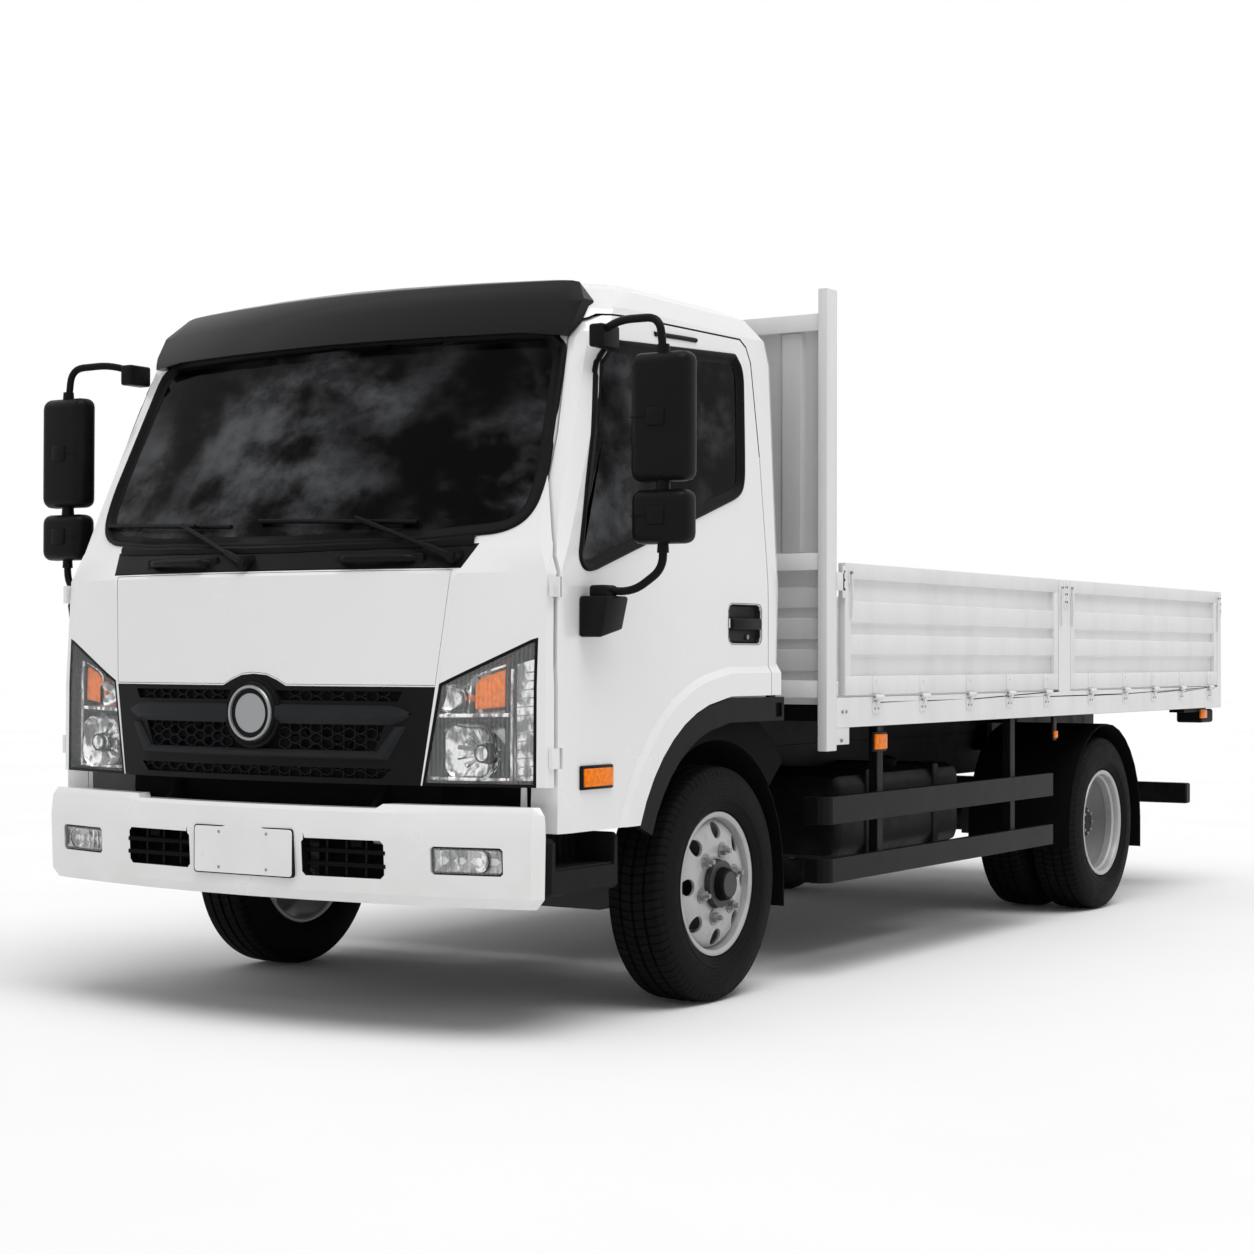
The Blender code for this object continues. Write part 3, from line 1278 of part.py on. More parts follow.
def layer(outer_inset, inner_inset):
    return cut(section_loft(cab_sections, outer_inset),
               section_loft(cab_sections, inner_inset, 0.2))


def make_arch_trims(cab_pivot):
    clear = moving_gap
    outer = arch_line(clear)[:-1]
    inner = arch_line(clear + trim_width)[:-1]
    end = [(trim_end_y, arch_top - 0.002 - clear), (trim_end_y, arch_top - 0.002 - clear - trim_width)]
    trim = prism(outer + end + inner[::-1], "X", *trim_x)
    tab = block((0.980, 0.996), (0.290, 0.330), (arch_top - 0.015, arch_top - 0.0015 - seat_gap))
    low_y, high_y, low_z, high_z = trim_pocket
    trim = cut(join(trim, tab), block((trim_x[1] - 0.012, 1.1), (low_y, high_y), (low_z, high_z)))
    name_piece(mirrored(trim), "arch_trim_right", black_plastic, cab_pivot)
    name_piece(trim, "arch_trim_left", black_plastic, cab_pivot)


def make_visor(cab_pivot):
    band = full_outline(((0.0, 2.120), (0.700, 2.118), (0.835, 2.104), (0.858, 2.150),
                         (0.862, 2.225), (0.80, 2.300), (0.0, 2.312)))
    visor = overlap(section_loft(cab_sections, -0.035),
                    prism(band, "Y", -1.4, -0.60))
    visor = cut(visor, section_loft(cab_sections, -seat_gap))
    name_piece(visor, "sun_visor", gloss_black, cab_pivot)


def make_interior(cab_pivot):
    dash = overlap(prism([(-1.20, cab_floor_top + seat_gap), (-0.700, cab_floor_top + seat_gap),
                          (-0.640, 1.300), (-0.700, 1.440), (-0.860, 1.462), (-1.20, 1.462)],
                         "X", -0.900, 0.900),
                   section_loft(cab_sections, lamp_depth + 0.005))
    name_piece(dash, "dashboard", dark_trim, cab_pivot)
    wheel_centre = Vector((-0.380, -0.470, 1.540))
    bm = bmesh.new()
    ring = bmesh.ops.create_circle(bm, segments=6, radius=0.014)["verts"]
    bmesh.ops.rotate(bm, verts=ring, cent=(0, 0, 0), matrix=Matrix.Rotation(math.pi / 2, 3, "X"))
    bmesh.ops.translate(bm, verts=ring, vec=(0.205, 0, 0))
    bmesh.ops.spin(bm, geom=bm.verts[:] + bm.edges[:], cent=(0, 0, 0), axis=(0, 0, 1),
                   angle=2 * math.pi, steps=16, use_merge=True)
    tilt = Matrix.Rotation(math.radians(32), 4, "X")
    bmesh.ops.transform(bm, matrix=Matrix.Translation(wheel_centre) @ tilt, verts=bm.verts[:])
    rim = mesh_object("rim", bm)
    place = Matrix.Translation(wheel_centre) @ tilt
    spokes = [rod(place @ Vector((0, 0, -0.03)),
                  place @ Vector((0.205 * math.cos(a), 0.205 * math.sin(a), 0)), 0.010, 8)
              for a in (math.radians(200), math.radians(340), math.radians(90))]
    hub = rod(place @ Vector((0, 0, -0.04)), place @ Vector((0, 0, 0.0)), 0.055, 16)
    column = rod(place @ Vector((0, 0, -0.03)), (-0.380, -0.690, 1.300), 0.028, 12)
    column = cut(column, prism([(-1.20, 1.0), (-0.700 + seat_gap, 1.0), (-0.640 + seat_gap, 1.300),
                                (-0.700 + seat_gap, 1.440), (-0.860, 1.47), (-1.2, 1.47)],
                               "X", -0.9, 0.9))
    name_piece(join(hub, rim, *spokes, column), "steering_wheel", dark_trim, cab_pivot)
    plinth = block((-0.800, 0.800), (-0.280, 0.240), (cab_floor_top + seat_gap, 1.260), 0.02)
    seats = plinth
    for low, high in ((-0.790, -0.260), (-0.140, 0.790)):
        cushion = block((low, high), (-0.330, 0.180), (1.240, 1.390), 0.03)
        back = prism([(0.100, 1.300), (0.230, 1.300), (0.285, 1.860), (0.215, 1.900),
                      (0.165, 1.860)], "X", low + 0.01, high - 0.01)
        seats = join(seats, join(cushion, back))
    name_piece(seats, "seats", dark_trim, cab_pivot)


def make_mirrors(carriers):
    x, y = 1.218, -0.770
    main = block((x - 0.100, x + 0.100), (y - 0.045, y + 0.045), (1.641, 2.023), 0.022, 2)
    lower = block((x - 0.098, x + 0.098), (y - 0.045, y + 0.045), (1.458, 1.618), 0.018)
    pole = rod((x, y - 0.02, 1.60), (x, y - 0.02, 1.66), 0.014, 10)
    top_arm = tube(((0.955, -0.700, 2.105), (1.050, -0.740, 2.130), (x - 0.01, y, 2.120),
                    (x, y, 2.000)), 0.013)
    low_arm = tube(((x, y, 1.480), (x, y, 1.400), (1.110, -0.850, 1.350),
                    (1.040, -0.880, 1.345)), 0.013)
    box = block((1.000 + seat_gap, 1.085), (-0.940, -0.830), (1.245, 1.360), 0.010, 1)
    knob = block((1.015, 1.055), (-0.905, -0.845), (1.330, 1.375))
    mirror = join(main, pole, lower, top_arm, low_arm, knob, box)
    top_foot = block((0.935, 0.985), (-0.735, -0.640), (2.085, 2.130))
    mirror = join(mirror, top_foot)
    mirror = cut(mirror, section_loft(cab_sections, -seat_gap))
    name_piece(mirrored(mirror), "mirror_right", black_plastic, carriers["right"])
    name_piece(mirror, "mirror_left", black_plastic, carriers["left"])


# The truck

wipe_scene()
truck = new_collection("flatbed_truck")

white_paint = finish("white_paint", (0.86, 0.86, 0.86), 0.3)
bed_paint = finish("bed_paint", (0.78, 0.78, 0.78), 0.42)
black_plastic = finish("black_plastic", (0.03, 0.03, 0.032), 0.6)
gloss_black = finish("gloss_black", (0.01, 0.01, 0.01), 0.15)
chassis_black = finish("chassis_black", (0.02, 0.02, 0.02), 0.5)
cast_iron = finish("cast_iron", (0.05, 0.05, 0.05), 0.6, 0.6)
dark_metal = finish("dark_metal", (0.12, 0.12, 0.12), 0.5, 0.8)
silver = finish("silver", (0.72, 0.72, 0.73), 0.35, 0.9)
rubber = finish("rubber", (0.018, 0.018, 0.018), 0.8)
glass = finish("tinted_glass", (0.02, 0.025, 0.03), 0.05)
clear_plastic = finish("clear_plastic", (0.8, 0.8, 0.82), 0.08)
dark_trim = finish("dark_trim", (0.04, 0.04, 0.04), 0.8)

origin_shift = (nose_reach - tail_reach - wheelbase) / 2
root = pivot("truck_root", (0.0, 0.0, 0.0), None)
root.location = (0.0, origin_shift, 0.0)
cab_pivot = pivot("cab_tilt", (0.0, tilt_pivot_y, tilt_pivot_z), root)
door_pivots = {"left": pivot("door_hinge_left", (door_hinge_x, door_hinge_y, 1.0), cab_pivot),
               "right": pivot("door_hinge_right", (-door_hinge_x, door_hinge_y, 1.0), cab_pivot)}
steer_pivots = {"left": pivot("steer_axis_left", (kingpin_x, 0.0, axle_height), root),
                "right": pivot("steer_axis_right", (-kingpin_x, 0.0, axle_height), root)}
front_pivots = {"left": pivot("front_spin_left", (front_wheel_x, 0.0, axle_height),
                              steer_pivots["left"]),
                "right": pivot("front_spin_right", (-front_wheel_x, 0.0, axle_height),
                               steer_pivots["right"])}
twin_x = twin_outer_x - twin_spacing / 2
rear_pivots = {"left": pivot("rear_spin_left", (twin_x, rear_axle_y, axle_height), root),
               "right": pivot("rear_spin_right", (-twin_x, rear_axle_y, axle_height), root)}
side_axis_x = bed_half_width + hinge_offset
board_pivots = {}
for place_name, hinge_y in (("front", board_front_y), ("rear", middle_post_y[1])):
    for side_name, sign in (("left", 1), ("right", -1)):
        board_pivots[place_name, side_name] = pivot(
            "board_hinge_" + place_name + "_" + side_name,
            (sign * side_axis_x, hinge_y, hinge_z), root)
tail_pivot = pivot("tail_hinge", (0.0, tail_face_y + hinge_offset, hinge_z), root)

make_frame()
make_engine()
make_front_axle()
make_rear_axle()
make_knuckles(steer_pivots)
make_front_wheels(front_pivots)
make_rear_wheels(rear_pivots)
make_tank()
make_right_units()
make_side_guards()
make_bumper()
make_steps()
make_front_mudguards()
make_rear_mudguards()
make_rear_end()
make_deck()
make_side_boards(board_pivots)
make_tailboard(tail_pivot)
make_headboard()
make_cab(cab_pivot, door_pivots)
make_arch_trims(cab_pivot)
make_visor(cab_pivot)
make_interior(cab_pivot)
make_mirrors(door_pivots)
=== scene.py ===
"""Looks of a light flatbed truck: tyres, wheels, panels, lamps, glass and a studio.

Metres. +Z is up, the nose points to -Y and +X is the truck's left side.
"""

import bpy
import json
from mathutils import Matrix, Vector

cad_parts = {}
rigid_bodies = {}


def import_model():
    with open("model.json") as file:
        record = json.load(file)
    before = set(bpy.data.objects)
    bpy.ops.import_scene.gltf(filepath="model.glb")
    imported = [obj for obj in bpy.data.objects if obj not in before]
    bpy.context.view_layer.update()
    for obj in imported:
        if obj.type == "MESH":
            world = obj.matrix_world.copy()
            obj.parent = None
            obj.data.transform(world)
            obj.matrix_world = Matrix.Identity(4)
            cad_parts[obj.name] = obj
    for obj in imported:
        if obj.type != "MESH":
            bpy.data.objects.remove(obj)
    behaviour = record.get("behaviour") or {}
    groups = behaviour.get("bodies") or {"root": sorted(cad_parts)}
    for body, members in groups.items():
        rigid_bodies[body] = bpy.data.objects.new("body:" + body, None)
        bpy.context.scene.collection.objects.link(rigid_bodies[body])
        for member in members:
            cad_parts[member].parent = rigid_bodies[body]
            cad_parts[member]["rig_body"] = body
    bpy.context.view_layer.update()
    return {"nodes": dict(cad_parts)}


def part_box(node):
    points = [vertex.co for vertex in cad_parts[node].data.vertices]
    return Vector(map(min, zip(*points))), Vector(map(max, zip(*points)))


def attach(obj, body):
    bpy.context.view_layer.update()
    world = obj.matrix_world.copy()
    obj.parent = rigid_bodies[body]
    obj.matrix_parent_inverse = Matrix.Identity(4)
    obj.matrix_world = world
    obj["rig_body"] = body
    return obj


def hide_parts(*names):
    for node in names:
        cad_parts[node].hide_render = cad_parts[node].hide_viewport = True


bl_info = {
    "name": "Flatbed Truck Looks",
    "version": (1, 0, 0),
    "blender": (4, 5, 0),
    "location": "View3D > Sidebar > Flatbed",
    "description": "Builds the visible pieces and finishes of a flatbed truck on its solids",
    "category": "Object",
}

import json
import math

import bmesh
import bpy
from bpy.props import FloatProperty, FloatVectorProperty, IntProperty, PointerProperty
from mathutils import Matrix, Vector
from mathutils.bvhtree import BVHTree

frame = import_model()
cad_nodes = frame["nodes"]

# The axles' places, the middle height of the wheels, and how near points are one point
front_axle_y = -1.85
rear_axle_y = 1.55
wheel_z = 0.3856
merge_distance = 0.00002
AXES = {"X": Vector((1, 0, 0)), "Y": Vector((0, 1, 0)), "Z": Vector((0, 0, 1))}
SIDES = (("left", 1), ("right", -1))
finishes = {}


# Sizes and colours that a user would change


def colour(label, text, default):
    return FloatVectorProperty(name=label, description=text, subtype="COLOR", size=3,
                               min=0.0, max=1.0, default=default)


def length(label, text, default):
    return FloatProperty(name=label, description=text, default=default, min=0.0,
                         subtype="DISTANCE", unit="LENGTH")


class FlatbedColours(bpy.types.PropertyGroup):
    cab_white: colour("Cab paint", "Gloss paint of the cab and bumper", (0.80, 0.80, 0.80))
    bed_white: colour("Bed paint", "Satin paint of the load bed", (0.75, 0.75, 0.75))
    amber: colour("Amber", "Lenses of the turn lamps and side reflectors", (0.95, 0.215, 0.0015))
    red: colour("Red", "Lenses of the tail lamps", (0.55, 0.01, 0.008))
    wheel_silver: colour("Wheel silver", "Lacquer of the steel wheels", (0.43, 0.43, 0.43))


class FlatbedSizes(bpy.types.PropertyGroup):
    tyre_steps: IntProperty(name="Tyre steps", description="Sections round a tyre",
                            default=120, min=24, max=240)
    groove_depth: length("Groove depth", "Depth of the tread's grooves", 0.010)
    panel_edge: length("Panel edge", "Rounding of a pressed panel's edge", 0.003)
    nut_radius: length("Wheel nut", "Radius of a wheel nut across its corners", 0.018)
    seal_radius: length("Seal radius", "Radius of a window's rubber seal", 0.009)
    cell_width: length("Grille cell", "Width of a cell of the honeycomb grille", 0.052)


# Finishes


class Flow:
    """A socket's output in a shader; an expression on it adds its Math nodes."""

    def __init__(self, finish, socket):
        self.finish, self.socket = finish, socket

    def maths(self, operation, first, second=0.0):
        return self.finish.node("ShaderNodeMath", {"operation": operation},
                                {0: first, 1: second})

    def sine(self):
        return self.maths("SINE", self)

    def __add__(self, other):
        return self.maths("ADD", self, other)

    def __radd__(self, other):
        return self.maths("ADD", other, self)

    def __sub__(self, other):
        return self.maths("SUBTRACT", self, other)

    def __rsub__(self, other):
        return self.maths("SUBTRACT", other, self)

    def __mul__(self, other):
        return self.maths("MULTIPLY", self, other)

    def __rmul__(self, other):
        return self.maths("MULTIPLY", other, self)


class Finish:
    """A material in the making, with its Principled shader."""

    def __init__(self, name, base, roughness, metallic=0.0, **sockets):
        self.material = bpy.data.materials.new(name)
        self.material.use_nodes = True
        self.tree = self.material.node_tree
        self.shader = self.tree.nodes["Principled BSDF"]
        self.put("Base Color", base)
        self.put("Roughness", roughness)
        self.put("Metallic", metallic)
        for label, value in sockets.items():
            self.put(label.replace("_", " ").title().replace("Ior", "IOR"), value)
        finishes[name] = self.material

    def feed(self, socket, value):
        if isinstance(value, Flow):
            self.tree.links.new(value.socket, socket)
        elif socket.type == "RGBA":
            socket.default_value = (*value, 1.0)
        else:
            socket.default_value = value

    def put(self, label, value):
        self.feed(self.shader.inputs[label], value)

    def node(self, kind, settings=None, values=None, output=0):
        made = self.tree.nodes.new(kind)
        for label, value in (settings or {}).items():
            setattr(made, label, value)
        for label, value in (values or {}).items():
            self.feed(made.inputs[label], value)
        return Flow(self, made.outputs[output])

    def place(self, scale=(1.0, 1.0, 1.0)):
        spot = self.node("ShaderNodeTexCoord", output="Object")
        return self.node("ShaderNodeMapping", None, {"Vector": spot, "Scale": scale})

    def noise(self, scale, stretch=(1.0, 1.0, 1.0), detail=3.0, rough=0.55):
        return self.node("ShaderNodeTexNoise", None,
                         {"Vector": self.place(stretch), "Scale": scale, "Detail": detail,
                          "Roughness": rough}, output="Fac")

    def cells(self, scale, feature="F1"):
        return self.node("ShaderNodeTexVoronoi", {"feature": feature},
                         {"Vector": self.place(), "Scale": scale}, output="Distance")

    def waves(self, direction, scale, distortion=0.0):
        return self.node("ShaderNodeTexWave", {"bands_direction": direction},
                         {"Vector": self.place(), "Scale": scale, "Distortion": distortion},
                         output="Fac")

    def part(self, vector, axis):
        return self.node("ShaderNodeSeparateXYZ", None, {"Vector": vector}, output=axis)

    def ramp(self, value, low, high):
        return self.node("ShaderNodeMapRange",
                         {"clamp": True, "interpolation_type": "SMOOTHSTEP"},
                         {"Value": value, "From Min": low, "From Max": high})

    def patches(self, scale, low, high, **noise):
        """Soft-edged patches of noise, from 0 to 1."""
        return self.ramp(self.noise(scale, **noise), low, high)

    def mix(self, share, first, second):
        return self.node("ShaderNodeMix", {"data_type": "RGBA"},
                         {"Factor": share, 6: first, 7: second}, output=2)

    def bump(self, height, depth, strength=1.0):
        self.put("Normal", self.node("ShaderNodeBump", None,
                                     {"Height": height, "Distance": depth,
                                      "Strength": strength}))


def toned(tone, share):
    return tuple(min(1.0, c * share) for c in tone)


def grey_of(tone):
    return (tone, tone, tone)


def make_paints(cab, bed):
    paint = Finish("gloss_white_paint", cab, 0.25, coat_weight=0.6, coat_roughness=0.06)
    height = paint.part(paint.node("ShaderNodeTexCoord", output="Object"), "Z")
    dust = paint.ramp(height, 0.95, 0.35) * paint.patches(5.0, 0.3, 0.7)
    base = paint.mix(paint.noise(1.3, detail=1.0), toned(cab, 0.97), cab)
    paint.put("Base Color", paint.mix(dust * 0.22, base, (0.60, 0.585, 0.56)))
    paint.put("Roughness", 0.24 + paint.noise(3.0, detail=1.0) * 0.05 + dust * 0.15)
    paint.bump(paint.noise(260.0, detail=1.0), 0.00010, 0.5)

    satin = Finish("satin_bed_paint", bed, 0.45, coat_weight=0.1, coat_roughness=0.25)
    streak = satin.patches(6.0, 0.42, 0.72, stretch=(1.0, 1.0, 0.16), detail=5.0)
    scuff = satin.patches(38.0, 0.63, 0.72, stretch=(1.0, 1.0, 2.6), detail=6.0, rough=0.7)
    base = satin.mix(streak, bed, toned(bed, 0.93))
    satin.put("Base Color", satin.mix(scuff * 0.35, base, (0.36, 0.35, 0.34)))
    satin.put("Roughness", 0.36 + satin.noise(14.0) * 0.2)
    satin.bump(satin.noise(120.0) + satin.noise(9.0) * 2.0, 0.0005, 0.5)

    grey = Finish("grey_sheet_paint", toned(bed, 0.7), 0.5)
    streak = grey.patches(5.0, 0.4, 0.75, stretch=(1.0, 1.0, 0.12), detail=5.0)
    grey.put("Base Color", grey.mix(streak, toned(bed, 0.72), toned(bed, 0.62)))
    grey.put("Roughness", 0.4 + grey.noise(18.0) * 0.25)
    grey.bump(grey.noise(60.0), 0.0005, 0.5)

    black = Finish("frame_black_paint", (0.008, 0.008, 0.009), 0.45, specular_ior_level=0.07)
    road = black.patches(6.0, 0.45, 0.75, detail=6.0, rough=0.7)
    black.put("Base Color", black.mix(road * 0.4, (0.007, 0.007, 0.008), (0.030, 0.028, 0.025)))
    black.put("Roughness", 0.38 + road * 0.3)
    black.bump(black.noise(90.0), 0.0006, 0.5)

    floor = Finish("pale_floor", grey_of(0.93), 0.9)
    floor.put("Base Color", floor.mix(floor.patches(0.6, 0.3, 0.7), grey_of(0.92),
                                      grey_of(0.94)))


def make_plastics():
    for name, base, roughness, grain, depth, dirt in (
            ("grained_black_plastic", (0.0085, 0.0085, 0.0095), 0.5, 330.0, 0.0003, 0.5),
            ("satin_black_plastic", (0.0065, 0.0065, 0.0072), 0.34, 520.0, 0.00012, 0.5),
            ("slate_plastic", (0.017, 0.018, 0.020), 0.42, 420.0, 0.0002, 0.5),
            ("window_rubber", (0.005, 0.005, 0.005), 0.42, 240.0, 0.0002, 0.5),
            ("matt_black_plastic", (0.0035, 0.0035, 0.0038), 0.75, 260.0, 0.0004, 0.3),
            ("cab_lining", (0.075, 0.076, 0.08), 0.75, 300.0, 0.0004, 0.2),
            ("dash_vinyl", (0.03, 0.031, 0.034), 0.7, 420.0, 0.0004, 0.3)):
        plastic = Finish(name, base, roughness, specular_ior_level=0.065)
        dusty = plastic.patches(7.0, 0.45, 0.8, detail=5.0) * dirt
        plastic.put("Base Color", plastic.mix(dusty * 0.5, base, toned(base, 2.1)))
        plastic.put("Roughness", roughness - 0.06 + plastic.noise(16.0) * 0.14)
        plastic.bump(plastic.cells(grain, "SMOOTH_F1") + plastic.noise(grain * 2.0), depth)

    gloss = Finish("smoked_gloss_acrylic", (0.004, 0.004, 0.0045), 0.1,
                   specular_ior_level=0.12)
    gloss.put("Roughness", 0.07 + gloss.patches(4.0, 0.35, 0.75) * 0.1)
    gloss.bump(gloss.noise(22.0), 0.0004, 0.3)

    cloth = Finish("seat_cloth", (0.035, 0.036, 0.04), 0.9, sheen_weight=0.3)
    weft, warp = cloth.waves("X", 160.0), cloth.waves("Y", 160.0)
    cloth.put("Base Color", cloth.mix(cloth.ramp(weft * warp, 0.2, 0.8), (0.028, 0.029, 0.033),
                                      (0.06, 0.062, 0.07)))
    cloth.bump(weft + warp, 0.0006, 0.6)


def make_metals(silver_tone):
    iron = Finish("rough_casting", (0.045, 0.043, 0.042), 0.6, 0.4)
    rust = iron.patches(11.0, 0.52, 0.72, detail=7.0, rough=0.7)
    iron.put("Base Color", iron.mix(rust * 0.6, (0.04, 0.04, 0.041), (0.10, 0.055, 0.035)))
    iron.put("Roughness", 0.5 + rust * 0.3)
    iron.bump(iron.noise(170.0, detail=4.0), 0.001, 0.6)

    tube = Finish("aluminised_steel", (0.26, 0.26, 0.265), 0.45, 0.85)
    heat = tube.patches(8.0, 0.4, 0.75, detail=6.0)
    tube.put("Base Color", tube.mix(heat, (0.27, 0.27, 0.275), (0.13, 0.105, 0.08)))
    tube.put("Roughness", 0.36 + heat * 0.3)
    tube.bump(tube.noise(140.0), 0.0005, 0.4)

    silver = Finish("wheel_silver_lacquer", silver_tone, 0.34, 0.35, specular_ior_level=0.3)
    grime = silver.patches(13.0, 0.48, 0.78, detail=6.0, rough=0.65)
    silver.put("Base Color", silver.mix(grime * 0.3, silver_tone, (0.16, 0.15, 0.14)))
    silver.put("Roughness", 0.28 + silver.noise(30.0) * 0.14 + grime * 0.15)
    silver.bump(silver.noise(320.0, detail=1.0), 0.0002, 0.5)

    zinc = Finish("zinc_steel", (0.36, 0.36, 0.35), 0.42, 0.6)
    zinc.put("Base Color", zinc.mix(zinc.cells(90.0), grey_of(0.18), (0.34, 0.34, 0.33)))
    zinc.put("Roughness", 0.34 + zinc.noise(50.0) * 0.2)

    # The second, darker copy of the chrome is painted shade, for the lamp bowls and the dark
    # flutes and ribs among bright chrome.
    for name, light, dark in (("lamp_chrome", 0.88, 0.20), ("lamp_chrome_painted_shade", 0.42, 0.20)):
        chrome = Finish(name, grey_of(light), 0.1, 1.0)
        # Painted reflection: stretched patches of dark and bright in the chrome's colour.
        painted_reflection_patches = chrome.patches(38.0, 0.40, 0.62, stretch=(1.0, 1.0, 0.5), detail=2.0)
        chrome.put("Base Color", chrome.mix(painted_reflection_patches, grey_of(dark), grey_of(light)))
        chrome.put("Roughness", 0.08 + chrome.noise(60.0) * 0.10)
        chrome.bump(chrome.noise(45.0, (1.0, 1.0, 0.3)), 0.0012, 0.5)

    disc = Finish("satin_disc_metal", (0.30, 0.305, 0.31), 0.34, 0.8)
    disc.put("Roughness", 0.26 + disc.noise(90.0, (1.0, 1.0, 14.0)) * 0.16)
    disc.bump(disc.noise(500.0, (1.0, 1.0, 0.1)), 0.00008, 0.5)

    mirror = Finish("mirror_silvering", (0.82, 0.84, 0.85), 0.02, 1.0)
    mirror.put("Roughness", 0.015 + mirror.noise(20.0) * 0.03)


def make_lenses(amber, red):
    glass = Finish("window_glass", (0.010, 0.011, 0.013), 0.035, specular_ior_level=0.035,
                   alpha=0.93)
    # Painted reflection: soft cloud-like patches of lighter grey in the glass's colour, a little
    # rougher and less clear, stand for the sky reflected in the panes.
    painted_cloud_reflection = (glass.patches(3.1, 0.42, 0.70, stretch=(1.0, 1.0, 1.35), detail=7.0, rough=0.58)
            * glass.patches(1.5, 0.28, 0.52, stretch=(1.0, 1.0, 0.8), detail=2.0))
    glass.put("Base Color", glass.mix(painted_cloud_reflection, (0.0012, 0.0012, 0.0015), (0.085, 0.087, 0.092)))
    glass.put("Roughness", 0.03 + painted_cloud_reflection * 0.06)
    glass.put("Alpha", 0.90 + painted_cloud_reflection * 0.08)

    lens = Finish("clear_lens", (0.80, 0.82, 0.83), 0.03, specular_ior_level=0.25, alpha=0.1)
    lens.put("Alpha", 0.06 + lens.waves("X", 24.0, 0.4) * 0.05)

    for name, tone in (("amber_lens", amber), ("red_lens", red)):
        # Painted glow: the lenses give off a faint light of their own colour, weaker in the darker
        # patches, though no lamp is lit behind them.
        plastic = Finish(name, tone, 0.16, specular_ior_level=0.14, emission_strength=0.12)
        prism = plastic.node("ShaderNodeTexChecker", None,
                             {"Vector": plastic.place(), "Scale": 150.0}, output="Fac")
        patch = plastic.patches(60.0, 0.35, 0.65)
        plastic.put("Base Color", plastic.mix(patch * 0.5, tone, toned(tone, 0.6)))
        plastic.put("Emission Color", plastic.mix(patch, toned(tone, 0.9), toned(tone, 0.3)))
        plastic.bump(prism + plastic.noise(120.0), 0.0009, 0.6)


def make_tyre_rubber():
    """Rubber whose UV holds the sipes' phase in U and the distance from the hub in V."""
    tyre = Finish("tyre_rubber", (0.005, 0.005, 0.005), 0.72, specular_ior_level=0.07)
    spot = tyre.node("ShaderNodeUVMap", {"uv_map": "tyre_map"})
    from_hub = tyre.part(spot, "Y")
    sipes = tyre.ramp(tyre.part(spot, "X").sine(), 0.55, 0.85)
    on_tread = tyre.ramp(from_hub, 0.352, 0.357)
    on_wall = 1.0 - on_tread
    scrub = tyre.patches(24.0, 0.35, 0.75, detail=6.0, rough=0.7)
    # Painted highlight: lighter rings on the sidewall, where light would catch its moulded ribs.
    painted_ring_highlight = tyre.ramp((from_hub * 520.0).sine(), 0.55, 0.95) * on_wall
    tone = tyre.mix(scrub * 0.6, (0.004, 0.004, 0.0042), (0.0115, 0.0112, 0.011))
    tone = tyre.mix(painted_ring_highlight * 0.5, tone, grey_of(0.016))
    # Painted shade: the sipes on the tread are darker than the rubber round them.
    tyre.put("Base Color", tyre.mix(sipes * on_tread, tone, grey_of(0.0015)))
    tyre.put("Roughness", 0.62 + scrub * 0.2)
    rings = (from_hub * 1500.0).sine() * 0.12
    tyre.bump(tyre.noise(260.0) * 0.25 + rings * on_wall - sipes * on_tread, 0.0028, 0.9)


def build_finishes(tones):
    make_paints(tuple(tones.cab_white), tuple(tones.bed_white))
    make_plastics()
    make_metals(tuple(tones.wheel_silver))
    make_lenses(tuple(tones.amber), tuple(tones.red))
    make_tyre_rubber()


# Shapes


def moved(bm, matrix):
    bmesh.ops.transform(bm, matrix=matrix, verts=bm.verts[:])
    return bm


def rounded_off(bm, rounding, steps):
    """Bevels every edge of a form, where a rounding is given."""
    if rounding:
        bmesh.ops.bevel(bm, geom=bm.edges[:], offset=rounding, segments=steps,
                        affect="EDGES", profile=0.5, material=-1, clamp_overlap=True)
    return bm


def box(low, high, rounding=0.0, steps=2):
    bm = bmesh.new()
    low, high = Vector(low), Vector(high)
    bmesh.ops.create_cube(bm, size=1.0)
    bmesh.ops.scale(bm, vec=high - low, verts=bm.verts[:])
    bmesh.ops.translate(bm, vec=(low + high) / 2, verts=bm.verts[:])
    return rounded_off(bm, rounding, steps)


def side_box(sign, xs, ys, zs, rounding=0.0, steps=2):
    """A box given by its spans on the left side, or its twin on the right side."""
    low, high = sorted((sign * xs[0], sign * xs[1]))
    return box((low, ys[0], zs[0]), (high, ys[1], zs[1]), rounding, steps)


def rod(start, end, radius, end_radius=None, sides=24):
    start, end = Vector(start), Vector(end)
    bm = bmesh.new()
    bmesh.ops.create_cone(bm, cap_ends=True, segments=sides, radius1=radius,
                          radius2=radius if end_radius is None else end_radius,
                          depth=(end - start).length)
    turn = Vector((0, 0, 1)).rotation_difference(end - start).to_matrix().to_4x4()
    return moved(bm, Matrix.Translation((start + end) / 2) @ turn)


def turned(profile, centre, axis="X", steps=64, closed=True):
    """Spins a profile of (along, radius) pairs about an axis through a centre."""
    bm = bmesh.new()
    along = AXES[axis]
    verts = [bm.verts.new(along * a + AXES["Z"] * r) for a, r in profile]
    edges = [bm.edges.new(pair) for pair in zip(verts, verts[1:])]
    if closed:
        edges.append(bm.edges.new((verts[-1], verts[0])))
    bmesh.ops.spin(bm, geom=verts + edges, cent=(0, 0, 0), axis=along,
                   angle=math.tau, steps=steps, use_merge=True)
    bmesh.ops.remove_doubles(bm, verts=bm.verts[:], dist=merge_distance)
    bmesh.ops.recalc_face_normals(bm, faces=bm.faces[:])
    bmesh.ops.translate(bm, vec=centre, verts=bm.verts[:])
    return bm


